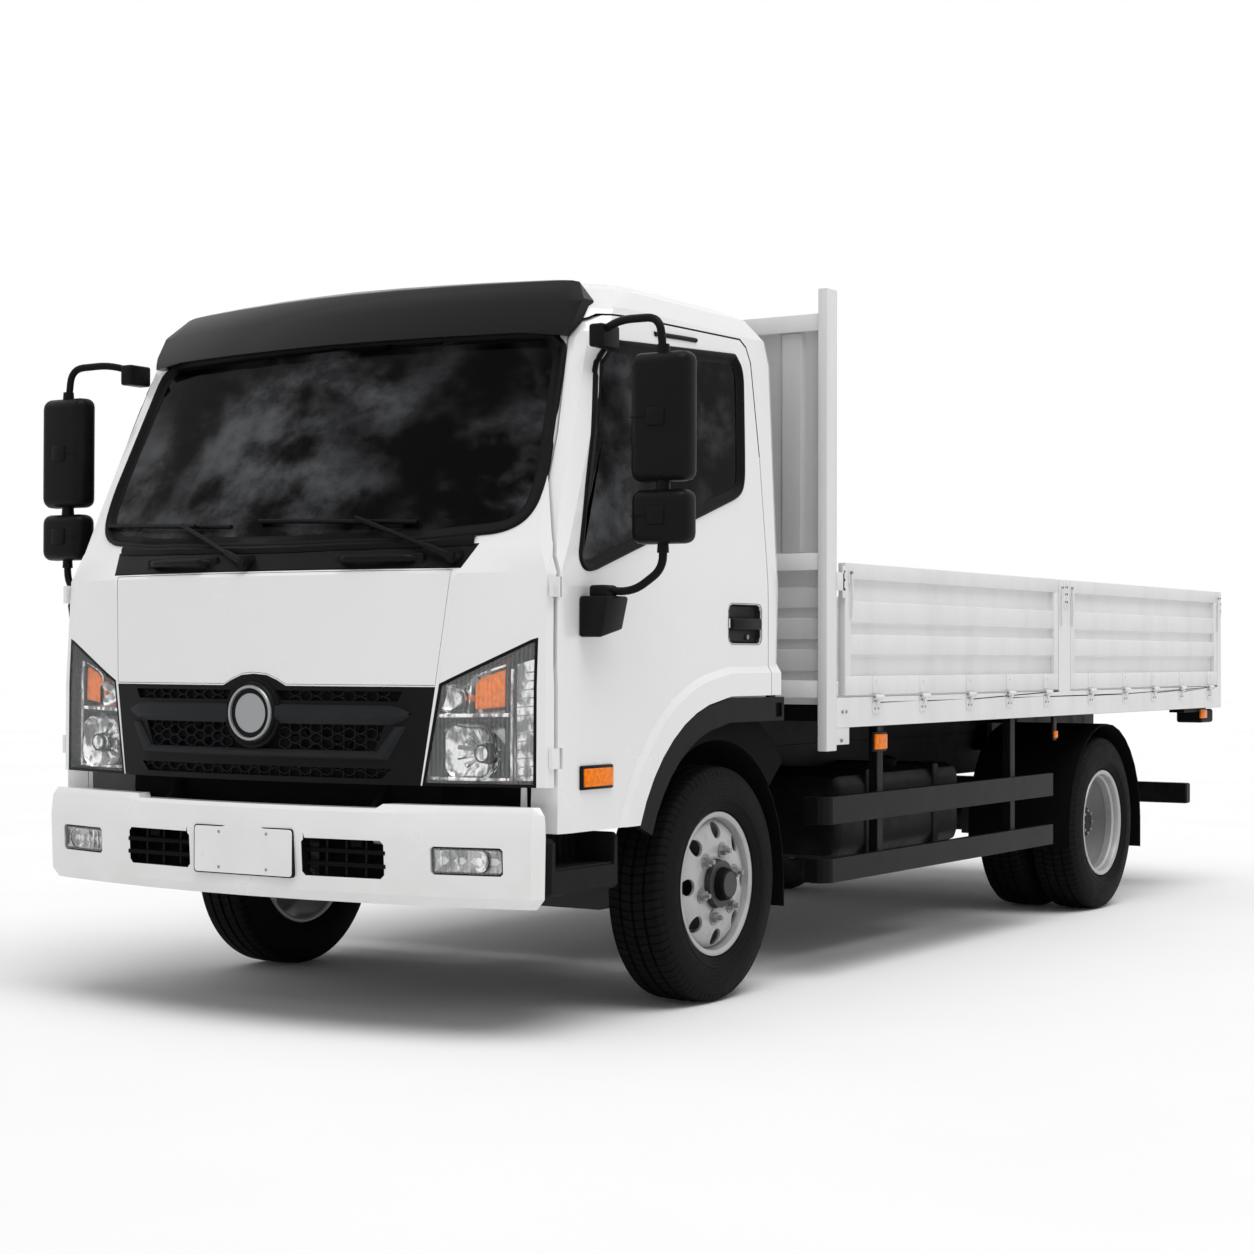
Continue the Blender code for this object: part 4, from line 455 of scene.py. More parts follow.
def slab(outline, axis, low, high, rounding=0.0, steps=2):
    """An outline of (Y, Z), (X, Z) or (X, Y) pairs extruded along X, Y or Z."""
    order = {"X": (2, 0, 1), "Y": (0, 2, 1), "Z": (0, 1, 2)}[axis]
    bm = bmesh.new()
    face = bm.faces.new([bm.verts.new([(u, v, low)[k] for k in order]) for u, v in outline])
    made = bmesh.ops.extrude_face_region(bm, geom=[face])["geom"]
    bmesh.ops.translate(bm, vec=AXES[axis] * (high - low),
                        verts=[g for g in made if isinstance(g, bmesh.types.BMVert)])
    bmesh.ops.recalc_face_normals(bm, faces=bm.faces[:])
    return rounded_off(bm, rounding, steps)


def mesh_of(thing):
    """A new mesh of an object with its modifiers applied."""
    bpy.context.view_layer.update()
    return bpy.data.meshes.new_from_object(
        thing.evaluated_get(bpy.context.evaluated_depsgraph_get()))


def linked(name, data):
    thing = bpy.data.objects.new(name, data)
    bpy.context.scene.collection.objects.link(thing)
    return thing


def pipe(points, radius, cyclic=False, sides=3, smooth=0.0):
    """A round bar along points, with its bends rounded by smooth metres."""
    path = [Vector(point) for point in points]
    if smooth:
        bent = [path[0]]
        for before, corner, after in zip(path, path[1:], path[2:]):
            reach = min(smooth, (corner - before).length / 2.1, (after - corner).length / 2.1)
            enter = corner + (before - corner).normalized() * reach
            leave = corner + (after - corner).normalized() * reach
            for step in range(7):
                t = step / 6
                bent.append(enter.lerp(corner, t).lerp(corner.lerp(leave, t), t))
        path = bent + [path[-1]]
    curve = bpy.data.curves.new("pipe", "CURVE")
    curve.dimensions = "3D"
    curve.bevel_depth = radius
    curve.bevel_resolution = sides
    curve.use_fill_caps = True
    spline = curve.splines.new("POLY")
    spline.points.add(len(path) - 1)
    for point, spot in zip(spline.points, path):
        point.co = (*spot, 1.0)
    spline.use_cyclic_u = cyclic
    thing = linked("pipe", curve)
    mesh = mesh_of(thing)
    bm = bmesh.new()
    bm.from_mesh(mesh)
    bmesh.ops.remove_doubles(bm, verts=bm.verts[:], dist=0.00005)
    bmesh.ops.recalc_face_normals(bm, faces=bm.faces[:])
    bpy.data.objects.remove(thing)
    bpy.data.curves.remove(curve)
    bpy.data.meshes.remove(mesh)
    return bm


def strip(rows, thickness):
    """A closed strip through rows of points, each row bridged to the next."""
    bm = bmesh.new()
    chains = []
    for row in rows:
        verts = [bm.verts.new(point) for point in row]
        chains.append([bm.edges.new(pair) for pair in zip(verts, verts[1:])])
    for first, second in zip(chains, chains[1:]):
        bmesh.ops.bridge_loops(bm, edges=first + second)
    bmesh.ops.recalc_face_normals(bm, faces=bm.faces[:])
    bmesh.ops.solidify(bm, geom=bm.faces[:], thickness=thickness)
    bmesh.ops.recalc_face_normals(bm, faces=bm.faces[:])
    return bm


def ring(loops):
    """A closed ring through closed loops of points, the last bridged to the first."""
    bm = bmesh.new()
    chains = []
    for loop in loops:
        verts = [bm.verts.new(point) for point in loop]
        chains.append([bm.edges.new((verts[n - 1], verts[n])) for n in range(len(verts))])
    for n, chain in enumerate(chains):
        bmesh.ops.bridge_loops(bm, edges=chains[n - 1] + chain)
    bmesh.ops.recalc_face_normals(bm, faces=bm.faces[:])
    return bm


def sided(bm, sign):
    """A form made for the left side, mirrored if it goes on the right side."""
    if sign < 0:
        moved(bm, Matrix.Diagonal((-1, 1, 1, 1)))
        bmesh.ops.reverse_faces(bm, faces=bm.faces[:])
    return bm


def nut(centre, radius, height, axis):
    """A hexagon nut on its washer, with the stud's end showing."""
    centre, axis = Vector(centre), Vector(axis)
    return [rod(centre - axis * 0.002, centre + axis * 0.003, radius * 1.45, sides=20),
            rod(centre + axis * 0.003, centre + axis * height, radius, radius * 0.93, 6),
            rod(centre + axis * height, centre + axis * height * 1.7, radius * 0.45, sides=12)]


def rounded(low, high, radius, points=5):
    """Outline of a rectangle with rounded corners."""
    corners = ((high[0] - radius, high[1] - radius), (low[0] + radius, high[1] - radius),
               (low[0] + radius, low[1] + radius), (high[0] - radius, low[1] + radius))
    outline = []
    for quarter, (u, v) in enumerate(corners):
        for n in range(points):
            a = math.radians(90.0 * quarter + 90.0 * n / (points - 1))
            outline.append((u + radius * math.cos(a), v + radius * math.sin(a)))
    return outline


# Pieces


def object_of(name, bm, materials=()):
    """A new object in the scene with this mesh and these finishes."""
    mesh = bpy.data.meshes.new(name)
    bm.to_mesh(mesh)
    bm.free()
    for material in materials:
        mesh.materials.append(finishes[material])
    return linked(name, mesh)


def join(bm, form):
    """Adds a form to a mesh in the making, and frees the form."""
    mesh = bpy.data.meshes.new("form")
    form.to_mesh(mesh)
    form.free()
    bm.from_mesh(mesh)
    bpy.data.meshes.remove(mesh)


def placed(name, bm, materials, body, angle=35.0, replaces=()):
    """Puts a mesh with its finishes in the scene, riding on its body."""
    thing = object_of(name, bm, materials)
    thing.data.set_sharp_from_angle(angle=math.radians(angle))
    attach(thing, body)
    if replaces:
        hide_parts(*replaces)
    return thing


class Piece:
    """Closed forms joined in one mesh, each with a finish or the piece's usual one."""

    def __init__(self, name, body, slot, finish=None):
        self.name, self.body, self.slot, self.finish = name, body, slot, finish
        self.bm = bmesh.new()
        self.finishes = []

    def add(self, forms, finish=None, smooth=True):
        finish = finish or self.finish
        if finish not in self.finishes:
            self.finishes.append(finish)
        index = self.finishes.index(finish)
        for form in forms if isinstance(forms, list) else [forms]:
            for face in form.faces:
                face.material_index = index
                face.smooth = smooth
            join(self.bm, form)

    def done(self, angle=35.0, replaces=()):
        return placed(self.name, self.bm, self.finishes, self.body, angle, replaces)


def add_bevel(thing, width, steps):
    edge = thing.modifiers.new("edge", "BEVEL")
    edge.width = width
    edge.segments = steps
    edge.limit_method = "ANGLE"
    edge.angle_limit = math.radians(28.0)
    edge.miter_outer = "MITER_ARC"
    flat = thing.modifiers.new("even", "WEIGHTED_NORMAL")
    flat.keep_sharp = True
    flat.mode = "FACE_AREA"


def merged_node(name):
    """A CAD node's mesh with its doubles merged and its flat faces whole."""
    bm = bmesh.new()
    bm.from_mesh(cad_nodes[name].data)
    bmesh.ops.remove_doubles(bm, verts=bm.verts[:], dist=merge_distance)
    bmesh.ops.dissolve_limit(bm, angle_limit=math.radians(0.4), verts=bm.verts[:],
                             edges=bm.edges[:])
    bmesh.ops.connect_verts_concave(bm, faces=bm.faces[:])
    bmesh.ops.recalc_face_normals(bm, faces=bm.faces[:])
    return bm


def body_of_node(name):
    return cad_nodes[name]["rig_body"]


def refined(node, finish, bevel=0.003, steps=2, suffix="_panel", more=(), sort=None,
            shape=None):
    """A finer copy of a CAD node, with rounded edges, that stands for it.

    sort gives each face the number of its finish, and shape moves the copy's points.
    """
    bm = merged_node(node)
    if shape:
        shape(bm)
    for face in bm.faces:
        face.smooth = True
        if sort:
            face.material_index = sort(face)
    thing = placed(node + suffix, bm, [finish, *more], body_of_node(node),
                   replaces=[node])
    if bevel:
        add_bevel(thing, bevel, steps)


class Skin:
    """The outer surface of some CAD nodes, for pieces that sit on it."""

    def __init__(self, *names):
        verts, faces = [], []
        for name in names:
            mesh = cad_nodes[name].data
            start = len(verts)
            verts += [v.co.copy() for v in mesh.vertices]
            faces += [[start + i for i in p.vertices] for p in mesh.polygons]
        self.tree = BVHTree.FromPolygons(verts, faces)

    def hit(self, start, way, fallback):
        """Where a ray meets the skin, or else the skin's point nearest to a fallback."""
        spot = self.tree.ray_cast(start, way)[0]
        return self.tree.find_nearest(fallback)[0] if spot is None else spot

    def front(self, x, z, lift=0.0):
        spot = self.hit(Vector((x, -6.0, z)), Vector((0, 1, 0)), Vector((x, -3.0, z)))
        return Vector((x, spot.y - lift, z))

    def side(self, y, z, sign, lift=0.0):
        spot = self.hit(Vector((sign * 4.0, y, z)), Vector((-sign, 0, 0)),
                        Vector((sign, y, z)))
        return Vector((spot.x + sign * lift, y, z))


# Operators


class FLATBED_OT_tyres(bpy.types.Operator):
    """Builds the six tyres with their grooves, shoulders and sidewall rings"""

    bl_idname = "flatbed.tyres"
    bl_label = "Tyres"
    bl_options = {"REGISTER", "UNDO"}

    # Radius of the tread, where the section ends on the rim, and the sipes round a
    # tyre with the turn that each takes per metre from the middle
    crown = wheel_z - 0.0002
    bead = (0.0824, 0.2246)
    sipes = 84
    sipe_slant = 40.0

    def execute(self, context):
        sizes = context.scene.flatbed_sizes
        for side, _ in SIDES:
            for place in ("front_tyre_", "rear_outer_tyre_", "rear_inner_tyre_"):
                node = place + side
                low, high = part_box(node)
                centre = (low + high) / 2
                centre.z = wheel_z
                tyre = turned(self.profile(sizes.groove_depth), centre, "X", sizes.tyre_steps)
                self.map_tyre(tyre, centre)
                piece = Piece(node + "_tread", body_of_node(node), "rubber", "tyre_rubber")
                piece.add(tyre)
                piece.done(angle=40.0, replaces=[node])
        return {"FINISHED"}

    def profile(self, depth):
        """The section of a tyre, half of it as (from the middle, below the crown)."""
        half = [(0.0044, depth), (0.0060, 0.0), (0.0385, 0.0006), (0.0400, depth),
                (0.0470, depth), (0.0485, 0.0010), (0.0790, 0.0028), (0.0860, 0.0052),
                (0.0915, 0.0105), (0.0950, 0.0190), (0.0985, 0.0300), (0.1010, 0.0335),
                (0.1030, 0.0370), (0.1065, 0.0530), (0.1105, 0.0720), (0.1120, 0.0850),
                (0.1118, 0.0960), (0.1100, 0.1100), (0.1110, 0.1112), (0.1104, 0.1140),
                (0.1085, 0.1155), (0.1050, 0.1250), (0.0990, 0.1370), (0.0955, 0.1420),
                (0.0915, 0.1450), (0.0828, 0.1475)]
        half = [(x, self.crown - drop) for x, drop in half] + [self.bead]
        return half + [(-x, r) for x, r in reversed(half)]

    def map_tyre(self, bm, centre):
        """Stores sipes round the tyre in U and the distance from the hub in V."""
        layer = bm.loops.layers.uv.new("tyre_map")
        for face in bm.faces:
            middle = face.calc_center_median() - centre
            base = math.atan2(middle.z, middle.y)
            for loop in face.loops:
                spot = loop.vert.co - centre
                turn = (math.atan2(spot.z, spot.y) - base + math.pi) % math.tau - math.pi
                phase = (base + turn) * self.sipes + abs(spot.x) * self.sipe_slant
                loop[layer].uv = (phase, math.hypot(spot.y, spot.z))


class FLATBED_OT_wheels(bpy.types.Operator):
    """Builds the steel wheels with hand holes, nuts and hubs"""

    bl_idname = "flatbed.wheels"
    bl_label = "Wheels"
    bl_options = {"REGISTER", "UNDO"}

    # Discs from the rim to the hub, as (from the wheel's middle, radius)
    front_disc = ((0.0520, 0.2135), (0.0600, 0.2085), (0.0690, 0.2010), (0.0780, 0.1890),
                  (0.0850, 0.1740), (0.0890, 0.1600), (0.0910, 0.1450), (0.0918, 0.1300),
                  (0.0918, 0.0950), (0.0900, 0.0905), (0.0880, 0.0800))
    rear_disc = ((0.0700, 0.2135), (0.0590, 0.2085), (0.0470, 0.2000), (0.0340, 0.1870),
                 (0.0230, 0.1720), (0.0165, 0.1580), (0.0130, 0.1450), (0.0120, 0.1300),
                 (0.0120, 0.0920))
    # Middles of the wheels from the truck's middle, and half the width of a rim
    front_x = 0.870
    rear_x = 0.780
    rim_reach = 0.083
    # Faces under the nuts from a wheel's middle, and the circles that fittings stand on
    front_face = 0.0918
    rear_face = 0.012
    nut_circle = 0.111
    bolt_circle = 0.050
    eighths = [math.tau * n / 8 for n in range(8)]
    sixths = [math.radians(16.0 + 60.0 * n) for n in range(6)]

    def execute(self, context):
        nut_radius = context.scene.flatbed_sizes.nut_radius
        for side, sign in SIDES:
            self.front(side, sign, nut_radius)
            self.rear(side, sign, nut_radius)
        return {"FINISHED"}

    def round_axle(self, x, y, reach, angles):
        """Points round an axle."""
        return [Vector((x, y + reach * math.cos(a), wheel_z + reach * math.sin(a)))
                for a in angles]

    def drilled(self, bm, centre_x, centre_y, low, high, reach, radius):
        """Cuts the hand holes through the disc and rounds their edges."""
        holes = bmesh.new()
        for spot in self.round_axle(centre_x, centre_y, reach, self.eighths):
            join(holes, rod((centre_x + low, spot.y, spot.z), (centre_x + high, spot.y, spot.z),
                            radius))
        blank, drill = object_of("disc", bm), object_of("holes", holes)
        change = blank.modifiers.new("holes", "BOOLEAN")
        change.operation, change.object, change.solver = "DIFFERENCE", drill, "EXACT"
        edge = blank.modifiers.new("edge", "BEVEL")
        edge.width, edge.segments, edge.limit_method = 0.0018, 2, "ANGLE"
        edge.angle_limit = math.radians(50)
        mesh = mesh_of(blank)
        result = bmesh.new()
        result.from_mesh(mesh)
        bmesh.ops.dissolve_degenerate(result, edges=result.edges[:], dist=0.000004)
        bpy.data.objects.remove(blank)
        bpy.data.objects.remove(drill)
        bpy.data.meshes.remove(mesh)
        return result

    def flange(self, centre, way):
        """Rim flange and barrel lip, from the outside in, as (along, radius)."""
        edge = centre + way * self.rim_reach
        return [(edge, 0.2225), (edge, 0.2300), (edge + way * 0.0012, 0.2345),
                (edge + way * 0.0040, 0.2362), (edge + way * 0.0068, 0.2345),
                (edge + way * 0.0075, 0.2290), (edge + way * 0.0062, 0.2225),
                (edge + way * 0.0020, 0.2175), (edge - way * 0.0060, 0.2150)]

    def front(self, side, sign, nut_radius):
        """A front wheel with its nuts, and the hub's cap on the knuckle."""
        centre = (self.front_x, front_axle_y, wheel_z)
        disc = list(self.front_disc)
        back = [(x - 0.010, r) for x, r in reversed(disc[1:])] + [(0.044, 0.2120)]
        profile = (self.flange(0.0, 1) + disc + back + self.flange(0.0, -1)[::-1]
                   + [(-0.05, 0.2205), (0.05, 0.2205)])
        wheel = moved(turned(profile, (0, 0, 0), "X", 72), Matrix.Translation(centre))
        wheel = self.drilled(wheel, self.front_x, front_axle_y, 0.030, 0.120, 0.174, 0.0275)
        piece = Piece("front_wheel_%s_steel" % side, "%s_front_wheel" % side, "silver")
        piece.add(sided(wheel, sign), "wheel_silver_lacquer")
        self.nuts(piece, sign, self.front_x + self.front_face, front_axle_y, nut_radius)
        piece.done(angle=32.0, replaces=["front_wheel_" + side])
        hub = [(0.060, 0.0), (0.060, 0.0765), (0.0990, 0.0765), (0.1060, 0.0720),
               (0.1080, 0.0650), (0.1085, 0.0560), (0.1200, 0.0540), (0.1330, 0.0500),
               (0.1370, 0.0450), (0.1380, 0.0380), (0.1362, 0.0360), (0.1362, 0.0)]
        groove = [(0.1355, 0.0470), (0.1392, 0.0440), (0.1392, 0.0375), (0.1355, 0.0365)]
        cap = Piece("front_hub_%s_cap" % side, "%s_knuckle" % side, "cast_iron")
        for profile, closed, finish in ((hub, False, "matt_black_plastic"),
                                        (groove, True, "satin_black_plastic")):
            cap.add(sided(turned(profile, centre, "X", 48, closed), sign), finish)
        cap.done(angle=30.0)

    def nuts(self, piece, sign, face_x, y, radius):
        for spot in self.round_axle(sign * face_x, y, self.nut_circle, self.sixths):
            piece.add(nut(spot, radius, 0.020, (sign, 0, 0)), "zinc_steel")

    def rear(self, side, sign, nut_radius):
        """Twin rear wheels back to back on their hub."""
        middle = self.rear_x
        centre = (middle, rear_axle_y, wheel_z)
        seat = [(0.196, 0.2130), (0.188, 0.2060), (0.160, 0.2050), (0.152, 0.2100),
                (0.120, 0.2110)]
        outer = self.flange(0.132, 1) + seat + list(self.rear_disc)
        hub = [(0.0200, 0.0880), (0.0560, 0.0860), (0.0640, 0.0800), (0.0680, 0.0760),
               (0.1300, 0.0700), (0.1420, 0.0640), (0.1480, 0.0540), (0.1500, 0.0400),
               (0.1500, 0.0)]
        inner = [(-x, r) for x, r in reversed(self.rear_disc)] + self.flange(-0.125, -1)[::-1]
        web = [(0.004, 0.1600), (0.012, 0.1850), (0.030, 0.2060), (0.045, 0.2150),
               (0.080, 0.2190)]
        web = [(-x, r) for x, r in reversed(web)] + web
        back_hub = [(-0.120, 0.0), (-0.120, 0.075), (-0.060, 0.082), (-0.014, 0.088)]
        wheel = turned(outer + [(0.0120, 0.0700), (-0.0120, 0.0700)] + inner + web, centre,
                       "X", 72)
        wheel = self.drilled(wheel, middle, rear_axle_y, -0.060, 0.060, 0.160, 0.026)
        piece = Piece("rear_wheels_%s_steel" % side, "%s_rear_wheels" % side, "silver")
        piece.add(sided(wheel, sign), "wheel_silver_lacquer")
        piece.add(sided(turned(back_hub + hub, centre, "X", 40, False), sign),
                  "satin_black_plastic")
        self.nuts(piece, sign, middle + self.rear_face, rear_axle_y, nut_radius)
        for spot in self.round_axle(sign * (middle + 0.146), rear_axle_y, self.bolt_circle,
                                    self.eighths):
            piece.add(rod(spot, spot + Vector((sign * 0.010, 0, 0)), 0.008, 0.007, 6),
                      "zinc_steel")
        piece.done(angle=32.0, replaces=["rear_wheel_" + side])


class FLATBED_OT_cab(bpy.types.Operator):
    """Builds the cab's painted panels, doors, visor, cowl and trims"""

    bl_idname = "flatbed.cab"
    bl_label = "Cab panels"
    bl_options = {"REGISTER", "UNDO"}

    def execute(self, context):
        edge = context.scene.flatbed_sizes.panel_edge
        refined("cab_shell", "gloss_white_paint", edge, more=["cab_lining"],
                sort=self.lined)
        for side, _ in SIDES:
            refined("door_" + side, "gloss_white_paint", edge,
                    more=["cab_lining"], sort=self.lined)
            refined("arch_trim_" + side, "satin_black_plastic", 0.004)
        refined("front_lid", "gloss_white_paint", 0.004)
        refined("cowl_panel", "satin_black_plastic")
        refined("sun_visor", "smoked_gloss_acrylic", 0.004)
        return {"FINISHED"}

    def lined(self, face):
        """1 on the faces of the cab's inside that look at its middle, or else 0."""
        spot = face.calc_center_median()
        inside = abs(spot.x) < 0.951 and spot.z > 1.039 and -2.99 < spot.y < -1.479
        outward = Vector((spot.x, (spot.y + 2.2) * 1.2, (spot.z - 1.6) * 0.6))
        return int(inside and face.normal.dot(outward) < 0 and self.behind_skin(spot))

    def behind_skin(self, spot):
        low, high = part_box("cab_shell")
        return abs(spot.x) < high.x - 0.02 and spot.y > low.y + 0.02 and spot.z < high.z - 0.015


class FLATBED_OT_glass(bpy.types.Operator):
    """Builds the panes with their black borders and rubber seals"""

    bl_idname = "flatbed.glass"
    bl_label = "Windows"
    bl_options = {"REGISTER", "UNDO"}

    def execute(self, context):
        seal = context.scene.flatbed_sizes.seal_radius
        panes = {"windscreen": ((0, -1, 0), 0.030), "rear_window": ((0, 1, 0), 0.020),
                 "door_glass_left": ((1, 0, 0), 0.022), "door_glass_right": ((-1, 0, 0), 0.022)}
        for node, (way, border) in panes.items():
            self.pane(node, Vector(way), border, seal)
        return {"FINISHED"}

    def pane(self, node, way, border, seal):
        bm = merged_node(node)
        front = [f for f in bm.faces if f.normal.dot(way) > 0.35]
        chosen = set(front)
        rim = [e for e in bm.edges if sum(f in chosen for f in e.link_faces) == 1]
        loop = self.softened(self.ordered(rim))
        bmesh.ops.inset_region(bm, faces=front, thickness=border, depth=0.0,
                               use_even_offset=True)
        for face in bm.faces:
            face.smooth = True
            clear = face in chosen or face.normal.dot(way) < 0.3
            face.material_index = 0 if clear else 1
        placed(node + "_pane", bm, ["window_glass", "window_rubber"], body_of_node(node),
               30.0, [node])
        rubber = Piece(node + "_seal", body_of_node(node), "black_plastic")
        rubber.add(self.band(node, loop, way, border, seal), "window_rubber")
        rubber.done(angle=50.0)

    def band(self, node, loop, way, border, seal):
        """A rubber band from the pane's border over the panel's edge, with a bead in it."""
        tree = Skin(node).tree
        middle = sum(loop, Vector()) / len(loop)
        section = ((-border, -0.003), (-border, 0.0012), (-0.010, 0.0035), (-0.004, 0.0125),
                   (0.001, 0.0165), (seal, 0.0165), (seal + 0.004, 0.0135), (seal + 0.005, 0.004))
        loops = [[] for _ in section]
        for n, point in enumerate(loop):
            near = tree.find_nearest(point.lerp(middle, 0.06))[1]
            normal = near if near.dot(way) > 0 else -near
            along = loop[(n + 1) % len(loop)] - loop[n - 1]
            out = along.cross(normal).normalized()
            if out.dot(point - middle) < 0:
                out = -out
            for row, (reach, lift) in zip(loops, section):
                row.append(point + out * reach + normal * lift)
        return ring(loops)

    def ordered(self, edges):
        """The points of a closed chain of edges, one after the other."""
        left = set(edges)
        edge = left.pop()
        loop = [edge.verts[0], edge.verts[1]]
        while left:
            step = [e for e in loop[-1].link_edges if e in left]
            if not step:
                break
            left.discard(step[0])
            loop.append(step[0].other_vert(loop[-1]))
        return [v.co.copy() for v in loop[:-1]]

    def softened(self, loop):
        """Cuts the corners of a closed loop, so that long edges stay straight."""
        for reach in (0.030, 0.012, 0.005):
            result = []
            for n, corner in enumerate(loop):
                for other in (loop[n - 1], loop[(n + 1) % len(loop)]):
                    gap = other - corner
                    result.append(corner + gap.normalized() * min(reach, gap.length / 4))
            loop = result
        return loop


class FLATBED_OT_front(bpy.types.Operator):
    """Builds the honeycomb grille, its boss and disc, the cowl's handles and the wipers"""

    bl_idname = "flatbed.front"
    bl_label = "Grille and cowl"
    bl_options = {"REGISTER", "UNDO"}

    # Heights of the grille's solid band between two slots, and of its round boss
    solid_z = 0.802
    boss_z = 0.952

    def execute(self, context):
        skin = Skin("grille")
        refined("grille", "satin_black_plastic", more=["matt_black_plastic"],
                sort=lambda face: self.depth(skin, face.calc_center_median()) > 0.010)
        self.honeycomb(skin, context.scene.flatbed_sizes.cell_width)
        self.bars(skin)
        self.emblem()
        self.filler()
        self.handles()
        self.wipers()
        return {"FINISHED"}

    def nose(self, skin, x):
        """How far forward the grille's solid part reaches at X."""
        return skin.front(x, self.solid_z).y

    def depth(self, skin, spot):
        """How far a point lies behind the grille's solid part."""
        return spot.y - self.nose(skin, spot.x)

    def honeycomb(self, skin, cell):
        """Hexagon rings, side by side in each of the grille's three slots."""
        piece = Piece("grille_honeycomb", "cab", "black_plastic")
        high = cell * 0.62
        # First row, top, half width and half the width that the boss covers
        slots = ((0.7695, 0.802, 0.53, 0.0), (0.846, 0.918, 0.47, 0.10),
                 (0.990, 1.026, 0.49, 0.12))
        for low_z, high_z, reach, clear in slots:
            for column in range(-14, 15):
                x = column * cell * 0.75
                y = min(skin.front(x, low_z - 0.012).y, skin.front(x, high_z + 0.006).y)
                for row in range(4):
                    z = low_z + (row + 0.5 * (column % 2)) * high
                    if clear <= abs(x) <= reach and z <= high_z:
                        piece.add(self.hexagon(cell, high, (x, y + 0.008, z)),
                                  "slate_plastic", smooth=False)
        piece.done(angle=20.0)

    def hexagon(self, cell, high, centre):
        """A thin hexagon ring, as wide and high as its cell."""
        bm = bmesh.new()
        bmesh.ops.create_circle(bm, cap_ends=True, segments=6, radius=cell / 2)
        moved(bm, Matrix.Rotation(math.pi / 2, 4, "X") @ Matrix.Rotation(math.pi / 6, 4, "Z"))
        bmesh.ops.rotate(bm, cent=(0, 0, 0), matrix=Matrix.Rotation(math.pi / 6, 3, "Y"),
                         verts=bm.verts[:])
        bmesh.ops.scale(bm, vec=(1.0, 1.0, high / cell / 0.866), verts=bm.verts[:])
        middle = bm.faces[:]
        bmesh.ops.inset_region(bm, faces=middle, thickness=0.0018, use_even_offset=True,
                               use_boundary=True)
        bmesh.ops.delete(bm, geom=middle, context="FACES_ONLY")
        bmesh.ops.solidify(bm, geom=bm.faces[:], thickness=0.006)
        bmesh.ops.recalc_face_normals(bm, faces=bm.faces[:])
        bmesh.ops.translate(bm, vec=centre, verts=bm.verts[:])
        return bm

    def bars(self, skin):
        """The pointed middle bar and the bar that runs round the middle slot."""
        piece = Piece("grille_bars", "cab", "black_plastic")
        steps = 14
        for sign in (-1, 1):
            rows = []
            for z, lift in ((0.980, 0.000), (0.974, 0.013), (0.944, 0.016), (0.922, 0.002)):
                row = []
                for n in range(steps + 1):
                    x = 0.085 + (0.560 - 0.085) * n / steps
                    close = max(0.0, (x - 0.515) / 0.045)
                    y = self.nose(skin, sign * x) - lift * (1 - 0.5 * close)
                    row.append(Vector((sign * x, y, z + (0.955 - z) * close * 0.8)))
                rows.append(row)
            piece.add(strip(rows, 0.004), "slate_plastic")
        rows = []
        # Half width at the top and at the base, height of the base, and relief
        for top, low, base, lift in ((0.512, 0.455, 0.844, 0.001), (0.522, 0.463, 0.836, 0.012),
                                     (0.540, 0.480, 0.824, 0.012), (0.550, 0.490, 0.818, 0.001)):
            path = [(-top, 0.918), (-(top + low) / 2, (0.918 + base) / 2), (-low, base)]
            path += [(-low + 2 * low * n / 16, base) for n in range(1, 16)]
            path += [(low, base), ((top + low) / 2, (0.918 + base) / 2), (top, 0.918)]
            rows.append([Vector((x, self.nose(skin, x) - lift, z)) for x, z in path])
        piece.add(strip(rows, 0.004), "slate_plastic")
        piece.add(box((-0.62, -2.900, 0.655), (0.62, -2.872, 0.775), 0.004), "matt_black_plastic")
        piece.done(angle=25.0)

    def edge_height(self, skin, x, start, step):
        """The first height that a ray hits the skin at, going up or down from the start."""
        for n in range(90):
            z = start + step * n
            if skin.tree.ray_cast(Vector((x, -6.0, z)), Vector((0, 1, 0)))[0]:
                return z
        return start

    def filler(self):
        """Black rubber between the cowl panel and the windscreen."""
        screen, cowl = Skin("windscreen"), Skin("cowl_panel")
        rows = [[], [], []]
        for n in range(29):
            x = -0.715 + 1.43 * n / 28
            top = self.edge_height(screen, x, 1.440, 0.002)
            low = self.edge_height(cowl, x, 1.500, -0.002)
            ends = cowl.front(x, low), screen.front(x, top + 0.002)
            for row, share, lift in zip(rows, (-0.1, 0.5, 1.2), (0.002, 0.016, 0.012)):
                row.append(ends[0].lerp(ends[1], share) - Vector((0, lift, 0)))
        piece = Piece("windscreen_filler", "cab", "black_plastic")
        piece.add(strip(rows, 0.003), "window_rubber")
        piece.done(angle=40.0)

    def emblem(self):
        """A black moulded boss with a plain, slightly domed satin disc."""
        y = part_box("grille")[0].y
        piece = Piece("grille_disc", "cab", "silver")
        dome = [(0.020, 0.0), (0.020, 0.087), (0.0005, 0.087), (-0.0055, 0.0835),
                (-0.0065, 0.080), (-0.0050, 0.0765), (0.0020, 0.0745), (0.0010, 0.060),
                (-0.0020, 0.035), (-0.0035, 0.0)]
        piece.add(turned(dome, (0.0, y - 0.0010, self.boss_z), "Y", closed=False),
                  "satin_disc_metal")
        rim = [(0.012, 0.0875), (-0.001, 0.0885), (-0.002, 0.093), (0.004, 0.097),
               (0.012, 0.098)]
        piece.add(turned(rim, (0.0, y, self.boss_z), "Y"), "satin_black_plastic")
        piece.done(angle=40.0)

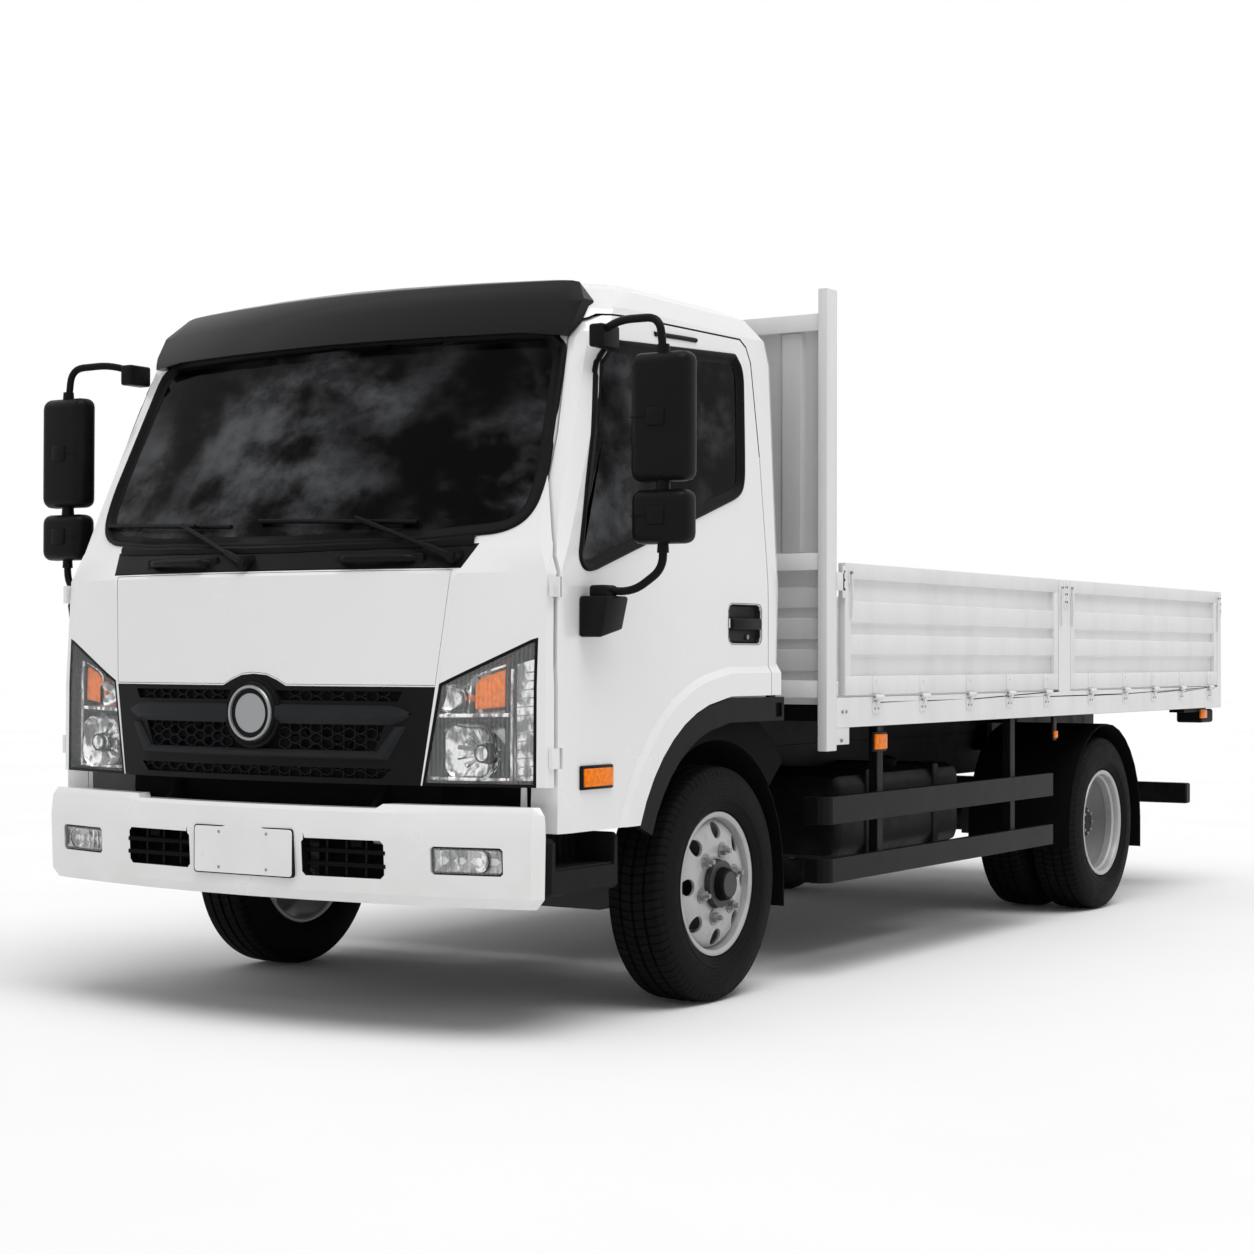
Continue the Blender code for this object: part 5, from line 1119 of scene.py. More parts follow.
    def handles(self):
        """Two grab handles on the cowl, each a bar between two feet."""
        skin = Skin("cowl_panel", "front_lid", "cab_shell")
        piece = Piece("cowl_handles", "cab", "black_plastic", "satin_black_plastic")
        back, out, inset = Vector((0, 0.01, 0)), Vector((0, -0.022, 0.004)), Vector((0.02, 0, 0))
        for low, high in ((-0.510, -0.234), (0.290, 0.545)):
            left, middle, right = [skin.front(x, 1.416) for x in (low, (low + high) / 2, high)]
            points = [left + back, left + out + inset, middle + out, right + out - inset,
                      right + back]
            piece.add(pipe(points, 0.0125, smooth=0.025))
            for end in (left, right):
                piece.add(box(end - Vector((0.028, 0.006, 0.020)),
                              end + Vector((0.028, 0.012, 0.020)), 0.006))
        piece.done(angle=50.0)

    def wipers(self):
        """Each wiper's pivot, arm and blade, from (X, Z) points on the screen."""
        skin = Skin("windscreen", "cowl_panel", "cab_shell", "sun_visor")
        # Pivot, the arm's joint on the blade, and the blade's two ends
        sets = (("right", (-0.070, 1.415), (-0.420, 1.545), (-0.846, 1.559), (-0.200, 1.533)),
                ("left", (0.672, 1.423), (0.300, 1.548), (-0.090, 1.548), (0.510, 1.530)))

        def forward(point, reach):
            return point - Vector((0, reach, 0))

        def between(start, end, share, lift):
            return skin.front(start[0] + (end[0] - start[0]) * share,
                              start[1] + (end[1] - start[1]) * share, lift)

        for side, pivot, joint, low, high in sets:
            piece = Piece("wiper_" + side, "cab", "black_plastic", "satin_black_plastic")
            base = skin.front(*pivot)
            piece.add([rod(forward(base, -0.02), forward(base, 0.030), 0.026, 0.021),
                       rod(forward(base, 0.030), forward(base, 0.040), 0.015, 0.012, 12)])
            arm = [forward(base, 0.026)]
            arm += [between(pivot, joint, share, 0.030) for share in (0.25, 0.6, 1.0)]
            piece.add(pipe(arm[:2], 0.012, sides=2))
            piece.add(pipe(arm[1:], 0.008, sides=2))
            spine = [between(low, high, n / 8, 0.014) for n in range(9)]
            piece.add(pipe(spine, 0.0075, sides=2), "window_rubber")
            piece.add(pipe([forward(p, 0.010) for p in spine[2:-2]], 0.006, sides=2))
            piece.done(angle=50.0)


class FLATBED_OT_lamps(bpy.types.Operator):
    """Builds the headlamps, fog lamps, side markers and tail lamps"""

    bl_idname = "flatbed.lamps"
    bl_label = "Lamps"
    bl_options = {"REGISTER", "UNDO"}

    def execute(self, context):
        for side, sign in SIDES:
            self.headlamp(side, sign)
            self.fog_lamp(side, sign)
            self.marker(side, sign)
            self.tail(side, sign)
        return {"FINISHED"}

    def headlamp(self, side, sign):
        node = "headlamp_" + side
        bm = merged_node(node)
        front = self.front_faces(bm)
        lens = bm.copy()
        bmesh.ops.inset_region(bm, faces=front, thickness=0.009, use_even_offset=True)
        made = bmesh.ops.extrude_face_region(bm, geom=front)["geom"]
        bmesh.ops.delete(bm, geom=front, context="FACES")
        bmesh.ops.translate(bm, vec=(0, 0.052, 0),
                            verts=[g for g in made if isinstance(g, bmesh.types.BMVert)])
        floor = {g for g in made if isinstance(g, bmesh.types.BMFace)}
        bmesh.ops.recalc_face_normals(bm, faces=bm.faces[:])
        # The bowl's floor takes the darker chrome: painted shade at the back of the lamp.
        for face in bm.faces:
            face.smooth = True
            face.material_index = 1 if face in floor else 0
        placed(node + "_bowl", bm, ["satin_black_plastic", "lamp_chrome_painted_shade"], "cab",
               30.0, [node])
        self.lens(node, lens)
        self.fittings(side, sign, Skin(node))

    def front_faces(self, bm):
        """The faces of a headlamp that its lens covers."""
        return [f for f in bm.faces if f.normal.y < -0.25 and f.calc_center_median().y < -2.86]

    def lens(self, node, bm):
        chosen = set(self.front_faces(bm))
        bmesh.ops.delete(bm, geom=[f for f in bm.faces if f not in chosen], context="FACES")
        for face in bm.faces:
            face.smooth = True
        bmesh.ops.translate(bm, vec=(0, 0.001, 0), verts=bm.verts[:])
        thing = object_of(node + "_lens", bm, ["clear_lens"])
        wall = thing.modifiers.new("wall", "SOLIDIFY")
        wall.thickness, wall.offset = 0.003, -1.0
        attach(thing, "cab")

    def fittings(self, side, sign, skin):
        """Reflectors, bulbs, the amber turn lamp, dividers and the ribbed outer strip."""
        piece = Piece("headlamp_%s_parts" % side, "cab", "clear_plastic")

        def spot(x, z, back):
            point = skin.front(sign * x, z)
            return Vector((point.x, point.y + back, z))

        def bar(points, back, radius, finish, sides=2):
            piece.add(pipe([spot(x, z, back) for x, z in points], radius, sides=sides), finish)

        for x, z, radius in ((0.742, 0.846, 0.088), (0.694, 1.000, 0.046)):
            piece.add(self.cup(spot(x, z, 0.010), radius), "lamp_chrome")
        hub = spot(0.775, 0.842, 0.0)
        # Flutes round the bulb, bright chrome in turn with the darker chrome: painted highlights
        # and shade.
        for n in range(14):
            a = math.tau * n / 14 + 0.2
            reach = 0.070 + 0.010 * math.cos(4 * a)
            ends = [hub + Vector((math.cos(a) * r, back, math.sin(a) * r * 0.95))
                    for r, back in ((0.030, 0.034), (reach, 0.022))]
            ends[1].x -= sign * 0.016
            piece.add(rod(ends[0], ends[1], 0.0025, 0.0075, 6),
                      "lamp_chrome" if n % 2 else "lamp_chrome_painted_shade")
        cap = [(0.010, 0.0), (0.008, 0.014), (0.012, 0.022), (0.018, 0.0245), (0.034, 0.0255),
               (0.040, 0.0)]
        piece.add(turned(cap, hub, "Y", 28, False), "lamp_chrome")
        piece.add(turned([(0.016, 0.0235), (0.014, 0.0275), (0.024, 0.029), (0.026, 0.0235)], hub,
                         "Y", 28), "satin_black_plastic")
        amber = [(0.752, 0.970), (0.852, 0.980), (0.864, 1.000), (0.864, 1.062), (0.846, 1.090),
                 (0.772, 1.066), (0.754, 1.046)]
        y = spot(0.81, 1.03, 0.0).y
        form = slab([(sign * x, z) for x, z in (amber if sign > 0 else amber[::-1])],
                    "Y", y + 0.014, y + 0.034, 0.006)
        piece.add(self.turned_to(form, skin, y), "amber_lens")
        bulb = spot(0.733, 1.004, 0.0)
        piece.add(rod(bulb + Vector((0, 0.012, 0)), bulb + Vector((0, 0.040, 0)), 0.008, 0.011,
                      16), "amber_lens")
        bar(((0.735, 0.962), (0.744, 1.058), (0.770, 1.076), (0.846, 1.101)), 0.014, 0.0035,
            "lamp_chrome", 1)
        for z, radius, finish in ((0.951, 0.0075, "lamp_chrome"),
                                  (0.940, 0.0035, "satin_black_plastic")):
            bar([(x, z + (x - 0.62) * 0.02) for x in (0.618, 0.66, 0.72, 0.78, 0.84, 0.860)],
                0.010, radius, finish)
        for x, radius, finish in ((0.852, 0.006, "satin_black_plastic"),
                                  (0.866, 0.007, "lamp_chrome")):
            bar([(x, z) for z in (0.764, 0.80, 0.86, 0.92, 0.98, 1.04, 1.090)], 0.012, radius,
                finish)
        bar(((0.622, 0.768), (0.70, 0.766), (0.78, 0.766), (0.86, 0.768)), 0.012, 0.006,
            "lamp_chrome")
        rows = [[spot(x, 0.764 + 0.336 * n / 12 + rise * n / 12, 0.022) for n in range(13)]
                for x, rise in ((0.875, 0.004), (0.902, 0.012), (0.930, 0.020))]
        piece.add(strip(rows, 0.003), "lamp_chrome")
        # Ribs across the chrome strip in the darker chrome: painted shade lines.
        for n in range(13):
            z = 0.778 + n * 0.025
            bar(((0.878, z), (0.902, z + 0.002), (0.926, z + 0.004)), 0.018, 0.0026,
                "lamp_chrome_painted_shade", 1)
        piece.done(angle=40.0)

    def turned_to(self, bm, skin, y):
        """Moves each point of a lens back by the lamp face's own slope."""
        for vert in bm.verts:
            face = skin.front(vert.co.x, min(vert.co.z, 1.075))
            vert.co.y += face.y - y
        return bm

    def cup(self, base, radius):
        """A rounded square reflector bowl, open to the front."""
        profile = [(0.032, 0.0), (0.032, radius * 0.25), (0.027, radius * 0.55),
                   (0.018, radius * 0.80), (0.006, radius * 0.97), (0.000, radius),
                   (0.024, radius * 0.95), (0.036, radius * 0.4), (0.038, 0.0)]
        bm = turned(profile, (0, 0, 0), "Y", 40, False)
        for vert in bm.verts:
            reach = math.hypot(vert.co.x, vert.co.z)
            if reach > radius * 0.3:
                a = math.atan2(vert.co.z, vert.co.x)
                square = 1.0 / max(abs(math.cos(a)), abs(math.sin(a)))
                pull = 1.0 + (min(square, 1.16) - 1.0) * min(1.0, (reach / radius - 0.3) / 0.7)
                vert.co.x *= pull
                vert.co.z *= pull * 0.95
        bmesh.ops.translate(bm, vec=base, verts=bm.verts[:])
        return bm

    def fog_lamp(self, side, sign):
        skin = Skin("bumper")
        piece = Piece("fog_lamp_" + side, "chassis", "clear_plastic")
        low_x, high_x, low_z, high_z = 0.664, 0.878, 0.494, 0.568
        outline = rounded((low_x, low_z), (high_x, high_z), 0.014)
        rim = [skin.front(sign * x, z, 0.002) for x, z in outline]
        piece.add(pipe(rim, 0.006, cyclic=True, sides=2), "satin_black_plastic")
        # The bowl behind the fog lamp's glass is the darker chrome: painted shade in the lamp's
        # recess.
        rows = []
        for z, back in ((0.499, -0.004), (0.511, 0.001), (0.531, 0.003), (0.551, 0.001),
                        (0.563, -0.004)):
            rows.append([skin.front(sign * (0.668 + 0.206 * n / 12), z,
                                    0.002 - back + 0.0015 * (n % 3 == 0)) for n in range(13)])
        piece.add(strip(rows, 0.002), "lamp_chrome_painted_shade")
        for x in (0.690, 0.716, 0.742):
            piece.add(pipe([skin.front(sign * x, z, 0.003) for z in (0.502, 0.531, 0.560)], 0.0035,
                           sides=1), "lamp_chrome")
        middle = skin.front(sign * 0.808, 0.531)
        bulb = [(0.004, 0.0), (0.004, 0.030), (-0.005, 0.031), (-0.006, 0.027), (-0.001, 0.020),
                (-0.001, 0.014), (-0.008, 0.012), (-0.009, 0.0)]
        piece.add(turned(bulb, middle, "Y", 32, False), "lamp_chrome")
        piece.add(turned([(-0.0045, 0.0305), (-0.006, 0.033), (0.003, 0.034), (0.004, 0.0305)],
                         middle, "Y", 32), "satin_black_plastic")
        piece.done(angle=40.0)
        pane = Piece("fog_lamp_%s_lens" % side, "chassis", "clear_plastic")
        bm = bmesh.new()
        bm.faces.new([bm.verts.new(p - Vector((0, 0.009, 0))) for p in rim])
        bmesh.ops.solidify(bm, geom=bm.faces[:], thickness=0.0015)
        bmesh.ops.recalc_face_normals(bm, faces=bm.faces[:])
        pane.add(bm, "clear_lens")
        pane.done(angle=30.0)

    def marker(self, side, sign):
        piece = Piece("side_marker_" + side, "%s_door" % side, "black_plastic")
        x = sign * Skin("door_" + side).side(-2.62, 0.77, sign).x
        piece.add(side_box(sign, (x - 0.002, x + 0.009), (-2.733, -2.557), (0.733, 0.805),
                           0.005), "satin_black_plastic")
        piece.add(side_box(sign, (x + 0.006, x + 0.016), (-2.723, -2.567), (0.742, 0.796),
                           0.0045, 3), "amber_lens")
        piece.done(angle=40.0)

    def tail(self, side, sign):
        """Three lenses side by side at the back, and an amber one on the bed's side."""
        refined("tail_lamp_" + side, "grained_black_plastic", 0.004)
        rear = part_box("tail_lamp_" + side)[1].y
        piece = Piece("tail_lens_" + side, "chassis", "clear_plastic")
        x0, x1 = 0.907, 1.023
        for finish, start, end in (("red_lens", 0.0, 0.45), ("amber_lens", 0.45, 0.75),
                                   ("lamp_chrome", 0.75, 1.0)):
            span = (x0 + (x1 - x0) * start + 0.001, x0 + (x1 - x0) * end - 0.001)
            piece.add(side_box(sign, span, (rear - 0.004, rear + 0.008), (0.813, 0.864), 0.004),
                      finish)
        piece.add(side_box(sign, (1.028, 1.040), (2.820, 2.910), (0.828, 0.872), 0.004),
                  "amber_lens")
        piece.done(angle=40.0)


class FLATBED_OT_bumper(bpy.types.Operator):
    """Builds the bumper with its ducts, plate and screws"""

    bl_idname = "flatbed.bumper"
    bl_label = "Bumper"
    bl_options = {"REGISTER", "UNDO"}

    # How far the bumper bends back, per square metre from where its ducts begin
    bow = 0.110

    def execute(self, context):
        skin = Skin("bumper")
        refined("bumper", "gloss_white_paint", 0.006, 3,
                more=["matt_black_plastic"], sort=self.inside_duct, shape=self.sink_slats)
        y = skin.front(0.0, 0.54).y
        plate = Piece("number_plate", "chassis", "white_paint")
        plate.add(slab(rounded((-0.195, 0.463), (0.195, 0.604), 0.010), "Y", y - 0.0022,
                       y + 0.006, 0.0008, 1), "gloss_white_paint")
        # A black slab a little larger than the plate, just behind it: a painted shadow line round
        # the plate's edge.
        plate.add(slab(rounded((-0.1985, 0.4595), (0.1985, 0.6075), 0.012), "Y", y - 0.0006,
                       y + 0.016), "satin_black_plastic")
        plate.done(angle=30.0)
        screws = Piece("plate_screws", "chassis", "silver", "zinc_steel")
        for x in (-0.095, 0.095):
            for z in (0.480, 0.588):
                screws.add(rod((x, y + 0.002, z), (x, y - 0.0038, z), 0.0055, 0.0045, 12))
        screws.done(angle=30.0)
        ducts = Piece("bumper_ducts", "chassis", "black_plastic")
        for sign in (-1, 1):
            ducts.add(side_box(sign, (0.212, 0.526), (-2.972, -2.962), (0.455, 0.600), 0.002, 1),
                      "matt_black_plastic")
            for n in range(1, 4):
                x = sign * (0.222 + 0.291 * n / 4)
                y = -3.034 + self.bow * (0.073 * n) ** 2
                ducts.add(box((x - 0.004, y, 0.472), (x + 0.004, y + 0.030, 0.580), 0.0015, 1),
                          "satin_black_plastic")
        ducts.done(angle=30.0)
        return {"FINISHED"}

    def sink_slats(self, bm):
        """Sets the ducts' bars back along the bumper's curve."""
        for vert in bm.verts:
            if all(self.inside_duct(face) for face in vert.link_faces):
                vert.co.y += 0.010 + self.bow * max(0.0, abs(vert.co.x) - 0.22) ** 2

    def inside_duct(self, face):
        """1 on the walls and bars of the two ducts, or else 0."""
        spot = face.calc_center_median()
        return int(0.217 < abs(spot.x) < 0.518 and 0.463 < spot.z < 0.591)


class FLATBED_OT_doors(bpy.types.Operator):
    """Builds the door handles, mirrors and the trims over the windows"""

    bl_idname = "flatbed.doors"
    bl_label = "Handles and mirrors"
    bl_options = {"REGISTER", "UNDO"}

    # The doors' outer face, and where the mirrors stand in X and Y
    skin_x = 1.0
    mirror_at = (1.218, -2.620)

    def execute(self, context):
        for side, sign in SIDES:
            self.handle(side, sign)
            self.mirror(side, sign)
            self.rain_strip(side, sign)
        return {"FINISHED"}

    def handle(self, side, sign):
        """A pull bar over a cup, and the lock."""
        piece = Piece("door_handle_" + side, "%s_door" % side, "black_plastic",
                      "satin_black_plastic")
        low, high = sorted((sign * (self.skin_x - 0.021), sign * (self.skin_x + 0.003)))
        outline = rounded((-1.850, 1.167), (-1.624, 1.304), 0.026)
        piece.add(self.hollow(slab(outline, "X", low, high), sign))
        piece.add(side_box(sign, (self.skin_x - 0.010, self.skin_x + 0.013), (-1.842, -1.640),
                           (1.216, 1.256), 0.009, 3))
        low, high = sorted((sign * (self.skin_x - 0.020), sign * (self.skin_x - 0.010)))
        piece.add(rod((low, -1.700, 1.193), (high, -1.700, 1.193), 0.008, sides=20),
                  "zinc_steel")
        piece.done()

    def hollow(self, bm, sign):
        """Sinks the middle of a slab's outer face into a cup."""
        outer = max(bm.faces, key=lambda f: f.calc_center_median().x * sign)
        bmesh.ops.inset_region(bm, faces=[outer], thickness=0.010, use_even_offset=True)
        bmesh.ops.translate(bm, vec=(-sign * 0.018, 0, 0), verts=outer.verts[:])
        bmesh.ops.bevel(bm, geom=[e for e in bm.edges if e.calc_length() > 0.001],
                        offset=0.0025, segments=2, affect="EDGES", profile=0.5, material=-1,
                        clamp_overlap=True)
        return bm

    def mirror(self, side, sign):
        """Two mirrors on bent arms, with their collars, bracket and foot."""
        x, y = self.mirror_at
        piece = Piece("mirror_%s_unit" % side, "%s_door" % side, "black_plastic")

        def put(form, finish="satin_black_plastic"):
            piece.add(sided(form, sign), finish)

        for low_z, high_z, half, seam in ((1.641, 2.023, 0.100, 1.83),
                                          (1.458, 1.618, 0.098, 1.54)):
            shell = box((x - half, y - 0.045, low_z), (x + half, y + 0.045, high_z), 0.030, 4)
            for vert in shell.verts:
                if vert.co.y < y - 0.01:
                    share = (y - 0.01 - vert.co.y) / 0.035
                    vert.co.x = x + (vert.co.x - x) * (1.0 - 0.10 * share)
                    middle = (low_z + high_z) / 2
                    vert.co.z = middle + (vert.co.z - middle) * (1.0 - 0.05 * share)
            put(shell)
            put(slab(rounded((x - half + 0.026, low_z + 0.026), (x + half - 0.026, high_z - 0.026),
                             0.012), "Y", y + 0.042, y + 0.0458), "mirror_silvering")
            put(box((x - 0.030, y - 0.052, seam - 0.028), (x + 0.030, y - 0.040, seam + 0.028),
                    0.006))
            put(box((x - half * 0.86, y - 0.0475, seam - 0.0015),
                    (x - 0.03, y - 0.044, seam + 0.0015)), "window_rubber")
        for points in (((0.958, -2.560, 2.108), (1.050, -2.592, 2.134), (1.205, -2.618, 2.128),
                        (x, y, 2.010)),
                       ((x, y, 1.655), (x, y, 1.600)),
                       ((x, y, 1.470), (x, y, 1.385), (1.128, -2.640, 1.318),
                        (1.050, -2.680, 1.322))):
            put(pipe(points, 0.0125, smooth=0.05))
        for z, size in ((2.030, 0.020), (1.632, 0.022), (1.448, 0.018)):
            point, half = Vector((x, y, z)), Vector((0, 0, 0.016))
            put(rod(point - half, point + half, size, size * 0.9))
        bracket = box((1.0005, -2.740, 1.184), (1.098, -2.616, 1.306), 0.009)
        for vert in bracket.verts:
            if vert.co.z < 1.25:
                vert.co.x = 1.0005 + (vert.co.x - 1.0005) * 0.80
                vert.co.z += 0.022 * (vert.co.y > -2.68)
        put(bracket)
        put(box((1.020, -2.718, 1.300), (1.080, -2.648, 1.338), 0.010, 3))
        put(box((0.940, -2.600, 2.060), (0.992, -2.500, 2.130), 0.009, 3))
        piece.done(angle=45.0, replaces=["mirror_" + side])

    def rain_strip(self, side, sign):
        """A strip over the front corner of a door's window."""
        skin = Skin("door_" + side, "cab_shell")
        piece = Piece("door_rain_strip_" + side, "%s_door" % side, "black_plastic")
        points = [skin.side(y, 2.142 + 0.010 * t, sign, 0.001)
                  for t, y in ((0.0, -2.23), (0.3, -2.17), (0.7, -2.07), (1.0, -1.97))]
        piece.add(pipe(points, 0.008, sides=2), "satin_black_plastic")
        piece.done(angle=50.0)


class FLATBED_OT_bed(bpy.types.Operator):
    """Builds the load bed: deck, drop sides, headboard, hinges and latches"""

    bl_idname = "flatbed.bed"
    bl_label = "Load bed"
    bl_options = {"REGISTER", "UNDO"}

    # Hinges along the side boards in Y, and along the tailboard in X
    front_hinges = (-0.889, -0.491, -0.064, 0.331, 0.728)
    rear_hinges = (1.239, 1.669, 2.053, 2.441, 2.861)
    tail_hinges = (-0.80, -0.40, 0.0, 0.40, 0.80)
    # A hinge's pin and bolt, the drop sides' back and the latch brackets' thickness
    pin_x = 1.0700
    pin_z = 0.984
    bolt_z = 1.041
    side_back = 1.0312
    bracket_x = (1.0600, 1.0650)
    # Catches of the boards: their place along the bed and which way the lever hangs
    catches = (("front", "front_board", -1.140, 1), ("middle", "front_board", 0.945, -1),
               ("centre", "rear_board", 0.965, 1), ("rear", "rear_board", 3.040, -1))
    # Outer face of a board from its top rail down: depth from its back, and height
    pressing = ((0.012, 1.425), (0.012, 1.327), (0.026, 1.323), (0.026, 1.251), (0.012, 1.246),
                (0.012, 1.209), (0.026, 1.205), (0.026, 1.137), (0.012, 1.131), (0.012, 1.040))
    # Heights of a board's rails, and the width of its stiles
    rails = ((1.404, 1.460), (0.992, 1.060))
    stile = 0.046

    def execute(self, context):
        refined("load_deck", "satin_bed_paint",
                more=["grey_sheet_paint", "frame_black_paint"], sort=self.deck_finish)
        for side, sign in SIDES:
            for place in ("front", "rear"):
                self.drop_side("side_board_%s_%s" % (place, side), sign)
        self.tailboard()
        self.headboard()
        self.hinges()
        self.latches()
        return {"FINISHED"}

    def deck_finish(self, face):
        """Grey on the deck's floor, black on its cross members, white on its rims."""
        spot, way = face.calc_center_median(), face.normal
        if way.z > 0.9 and abs(spot.z - 0.985) < 0.002:
            return 1
        low = spot.z < 0.982 and abs(spot.x) < 1.055 and -1.15 < spot.y < 3.06
        return 2 if low and way.z < 0.9 else 0

    def section(self, back):
        """A board's section: its plain back, then the pressing of its outer face."""
        return [(back + 0.002, 1.040), (back + 0.002, 1.425),
                *((back + depth, z) for depth, z in self.pressing)]

    def drop_side(self, node, sign):
        low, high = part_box(node)
        back = self.side_back
        piece = Piece(node + "_panel", body_of_node(node), "bed_paint", "satin_bed_paint")
        forms = [slab(self.section(back), "Y", low.y + 0.02, high.y - 0.02, 0.0012)]
        forms += [box((back, low.y + 0.0005, low_z), (back + 0.030, high.y - 0.0005, high_z),
                      0.0028) for low_z, high_z in self.rails]
        forms += [box((back + 0.0006, start, 0.9926),
                      (back + 0.0292, start + self.stile, 1.4594), 0.0026)
                  for start in (low.y, high.y - self.stile)]
        piece.add([sided(form, sign) for form in forms])
        piece.done(angle=40.0, replaces=[node])

    def tailboard(self):
        """The board across the back, with its middle stile and hinge leaves."""
        low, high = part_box("tailboard")
        back = low.y + 0.0002
        piece = Piece("tailboard_panel", "tail_board", "bed_paint", "satin_bed_paint")
        piece.add(slab(self.section(back), "X", low.x + 0.02, high.x - 0.02, 0.0012))
        for low_z, high_z in self.rails:
            piece.add(box((low.x + 0.0005, back, low_z), (high.x - 0.0005, back + 0.030, high_z),
                          0.0028))
        for start in (low.x, high.x - self.stile, -self.stile / 2):
            piece.add(box((start, back + 0.0006, 0.9926),
                          (start + self.stile, back + 0.0292, 1.4594), 0.0026))
        for x in self.tail_hinges:
            piece.add(box((x - 0.022, back + 0.0285, 0.997), (x + 0.022, back + 0.034, 1.060),
                          0.0015))
            piece.add(rod((x - 0.024, back + 0.039, self.pin_z),
                          (x + 0.002, back + 0.039, self.pin_z), 0.0096, sides=16))
            piece.add(rod((x - 0.006, back + 0.033, self.bolt_z),
                          (x - 0.006, back + 0.038, self.bolt_z), 0.0055, sides=6), "zinc_steel")
        piece.done(angle=40.0, replaces=["tailboard"])

    def headboard(self):
        """Two posts, three rails and a pressed sheet with upright and level ribs."""
        low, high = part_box("headboard")
        inner = high.x - 0.037
        rail_x = inner + 0.004
        back = -1.1905
        piece = Piece("headboard_panel", "chassis", "bed_paint", "satin_bed_paint")
        for sign in (-1, 1):
            piece.add(side_box(sign, (inner, high.x), (back - 0.076, back), (low.z, high.z),
                               0.003))
            piece.add(side_box(sign, (high.x - 0.014, high.x - 0.002), (back - 0.060, high.y),
                               (low.z + 0.02, low.z + 0.155), 0.002))
            for y, z in ((-1.155, 0.835), (-1.120, 0.935), (-1.150, 0.935)):
                piece.add(rod((sign * (high.x - 0.004), y, z), (sign * (high.x + 0.004), y, z),
                              0.007, 0.006, 6), "zinc_steel")
        for z in (2.265, 1.430, 0.985):
            piece.add(box((-rail_x, back - 0.070, z), (rail_x, back - 0.020, z + 0.060), 0.003))
        sheet = back - 0.044
        piece.add(box((-rail_x, sheet, 1.0), (rail_x, sheet + 0.012, 2.30)), "grey_sheet_paint")
        ribs = 9
        pitch = 2 * inner / ribs
        for n in range(ribs):
            x = -inner + (n + 0.5) * pitch
            outline = [(x - 0.050, sheet + 0.002), (x - 0.036, sheet - 0.014),
                       (x + 0.036, sheet - 0.014), (x + 0.050, sheet + 0.002)]
            piece.add(slab(outline, "Z", 1.492, 2.262, 0.0012), "grey_sheet_paint")
        for z in (1.115, 1.225, 1.335):
            outline = [(sheet + 0.002, z - 0.040), (sheet - 0.009, z - 0.035),
                       (sheet - 0.009, z + 0.035), (sheet + 0.002, z + 0.040)]
            piece.add(slab(outline, "X", -inner, inner, 0.0012), "grey_sheet_paint")
        piece.done(angle=30.0, replaces=["headboard"])

    def hinges(self):
        """Pairs of a leaf on each board and a strap on the bed, along both sides."""
        for place, ys in (("front", self.front_hinges), ("rear", self.rear_hinges)):
            for side, sign in SIDES:
                fixed = Piece("%s_board_straps_%s" % (place, side), "chassis", "bed_paint",
                              "satin_bed_paint")
                leaf = Piece("%s_board_leaves_%s" % (place, side),
                             "%s_%s_board" % (side, place), "bed_paint", "satin_bed_paint")
                for y in ys:
                    self.hinge(fixed, leaf, y, sign)
                fixed.done()
                leaf.done()

    def bolt(self, sign, xs, y, z, radius, sides=6):
        return rod((sign * xs[0], y, z), (sign * xs[1], y, z), radius, sides=sides)

    def eye(self, sign, ys, radius, sides=16):
        return rod((sign * self.pin_x, ys[0], self.pin_z), (sign * self.pin_x, ys[1], self.pin_z),
                   radius, sides=sides)

    def hinge(self, fixed, leaf, y, sign):
        """A bolted leaf with its rolled eye, and a lower strap that holds the pin."""
        leaf.add(side_box(sign, (1.0595, 1.0650), (y - 0.022, y + 0.022), (0.997, 1.060), 0.0015))
        leaf.add(self.bolt(sign, (1.0645, 1.0690), y + 0.006, self.bolt_z, 0.0055))
        leaf.add(self.eye(sign, (y - 0.022, y + 0.006), 0.0098))
        fixed.add(side_box(sign, (1.0595, 1.0660), (y - 0.024, y + 0.026), (0.925, 0.966),
                           0.0015))
        fixed.add(self.eye(sign, (y + 0.008, y + 0.046), 0.0085))
        fixed.add(self.eye(sign, (y - 0.030, y + 0.052), 0.0042, 10), "zinc_steel")
        for shift in (-0.012, 0.014):
            fixed.add(self.bolt(sign, (1.0655, 1.0690), y + shift, 0.943, 0.0045), "zinc_steel")

    def latches(self):
        """Over-centre catches: a drilled bracket, a link and a hanging lever."""
        for side, sign in SIDES:
            for name, board, y, way in self.catches:
                bracket = Piece("latch_bracket_%s_%s" % (name, side), "chassis", "bed_paint",
                                "satin_bed_paint")
                bracket.add(side_box(sign, self.bracket_x, (y - 0.013, y + 0.013),
                                     (1.335, 1.448), 0.002))
                if name == "front":
                    bracket.add(side_box(sign, self.bracket_x, (-1.195, y), (1.360, 1.424),
                                         0.002))
                for z in (1.428, 1.398, 1.365):
                    bracket.add(self.bolt(sign, (1.0640, 1.0655), y, z, 0.0048, 12),
                                "satin_black_plastic")
                bracket.done()
                lever = Piece("latch_lever_%s_%s" % (name, side), "%s_%s" % (side, board),
                              "bed_paint", "satin_bed_paint")
                near = y + way * 0.045
                lever.add(side_box(sign, (1.0590, 1.0660), (near - 0.009, near + 0.009),
                                   (1.385, 1.440), 0.002))
                bends = [(1.0690, near, 1.430), (1.0705, near + way * 0.004, 1.395),
                         (1.0705, near + way * 0.009, 1.330), (1.0700, near + way * 0.006, 1.262)]
                lever.add(pipe([(sign * x, v, z) for x, v, z in bends], 0.0045, sides=2))
                lever.add(self.bolt(sign, (1.0650, 1.0735), near, 1.425, 0.006, 12),
                          "zinc_steel")
                lever.done()


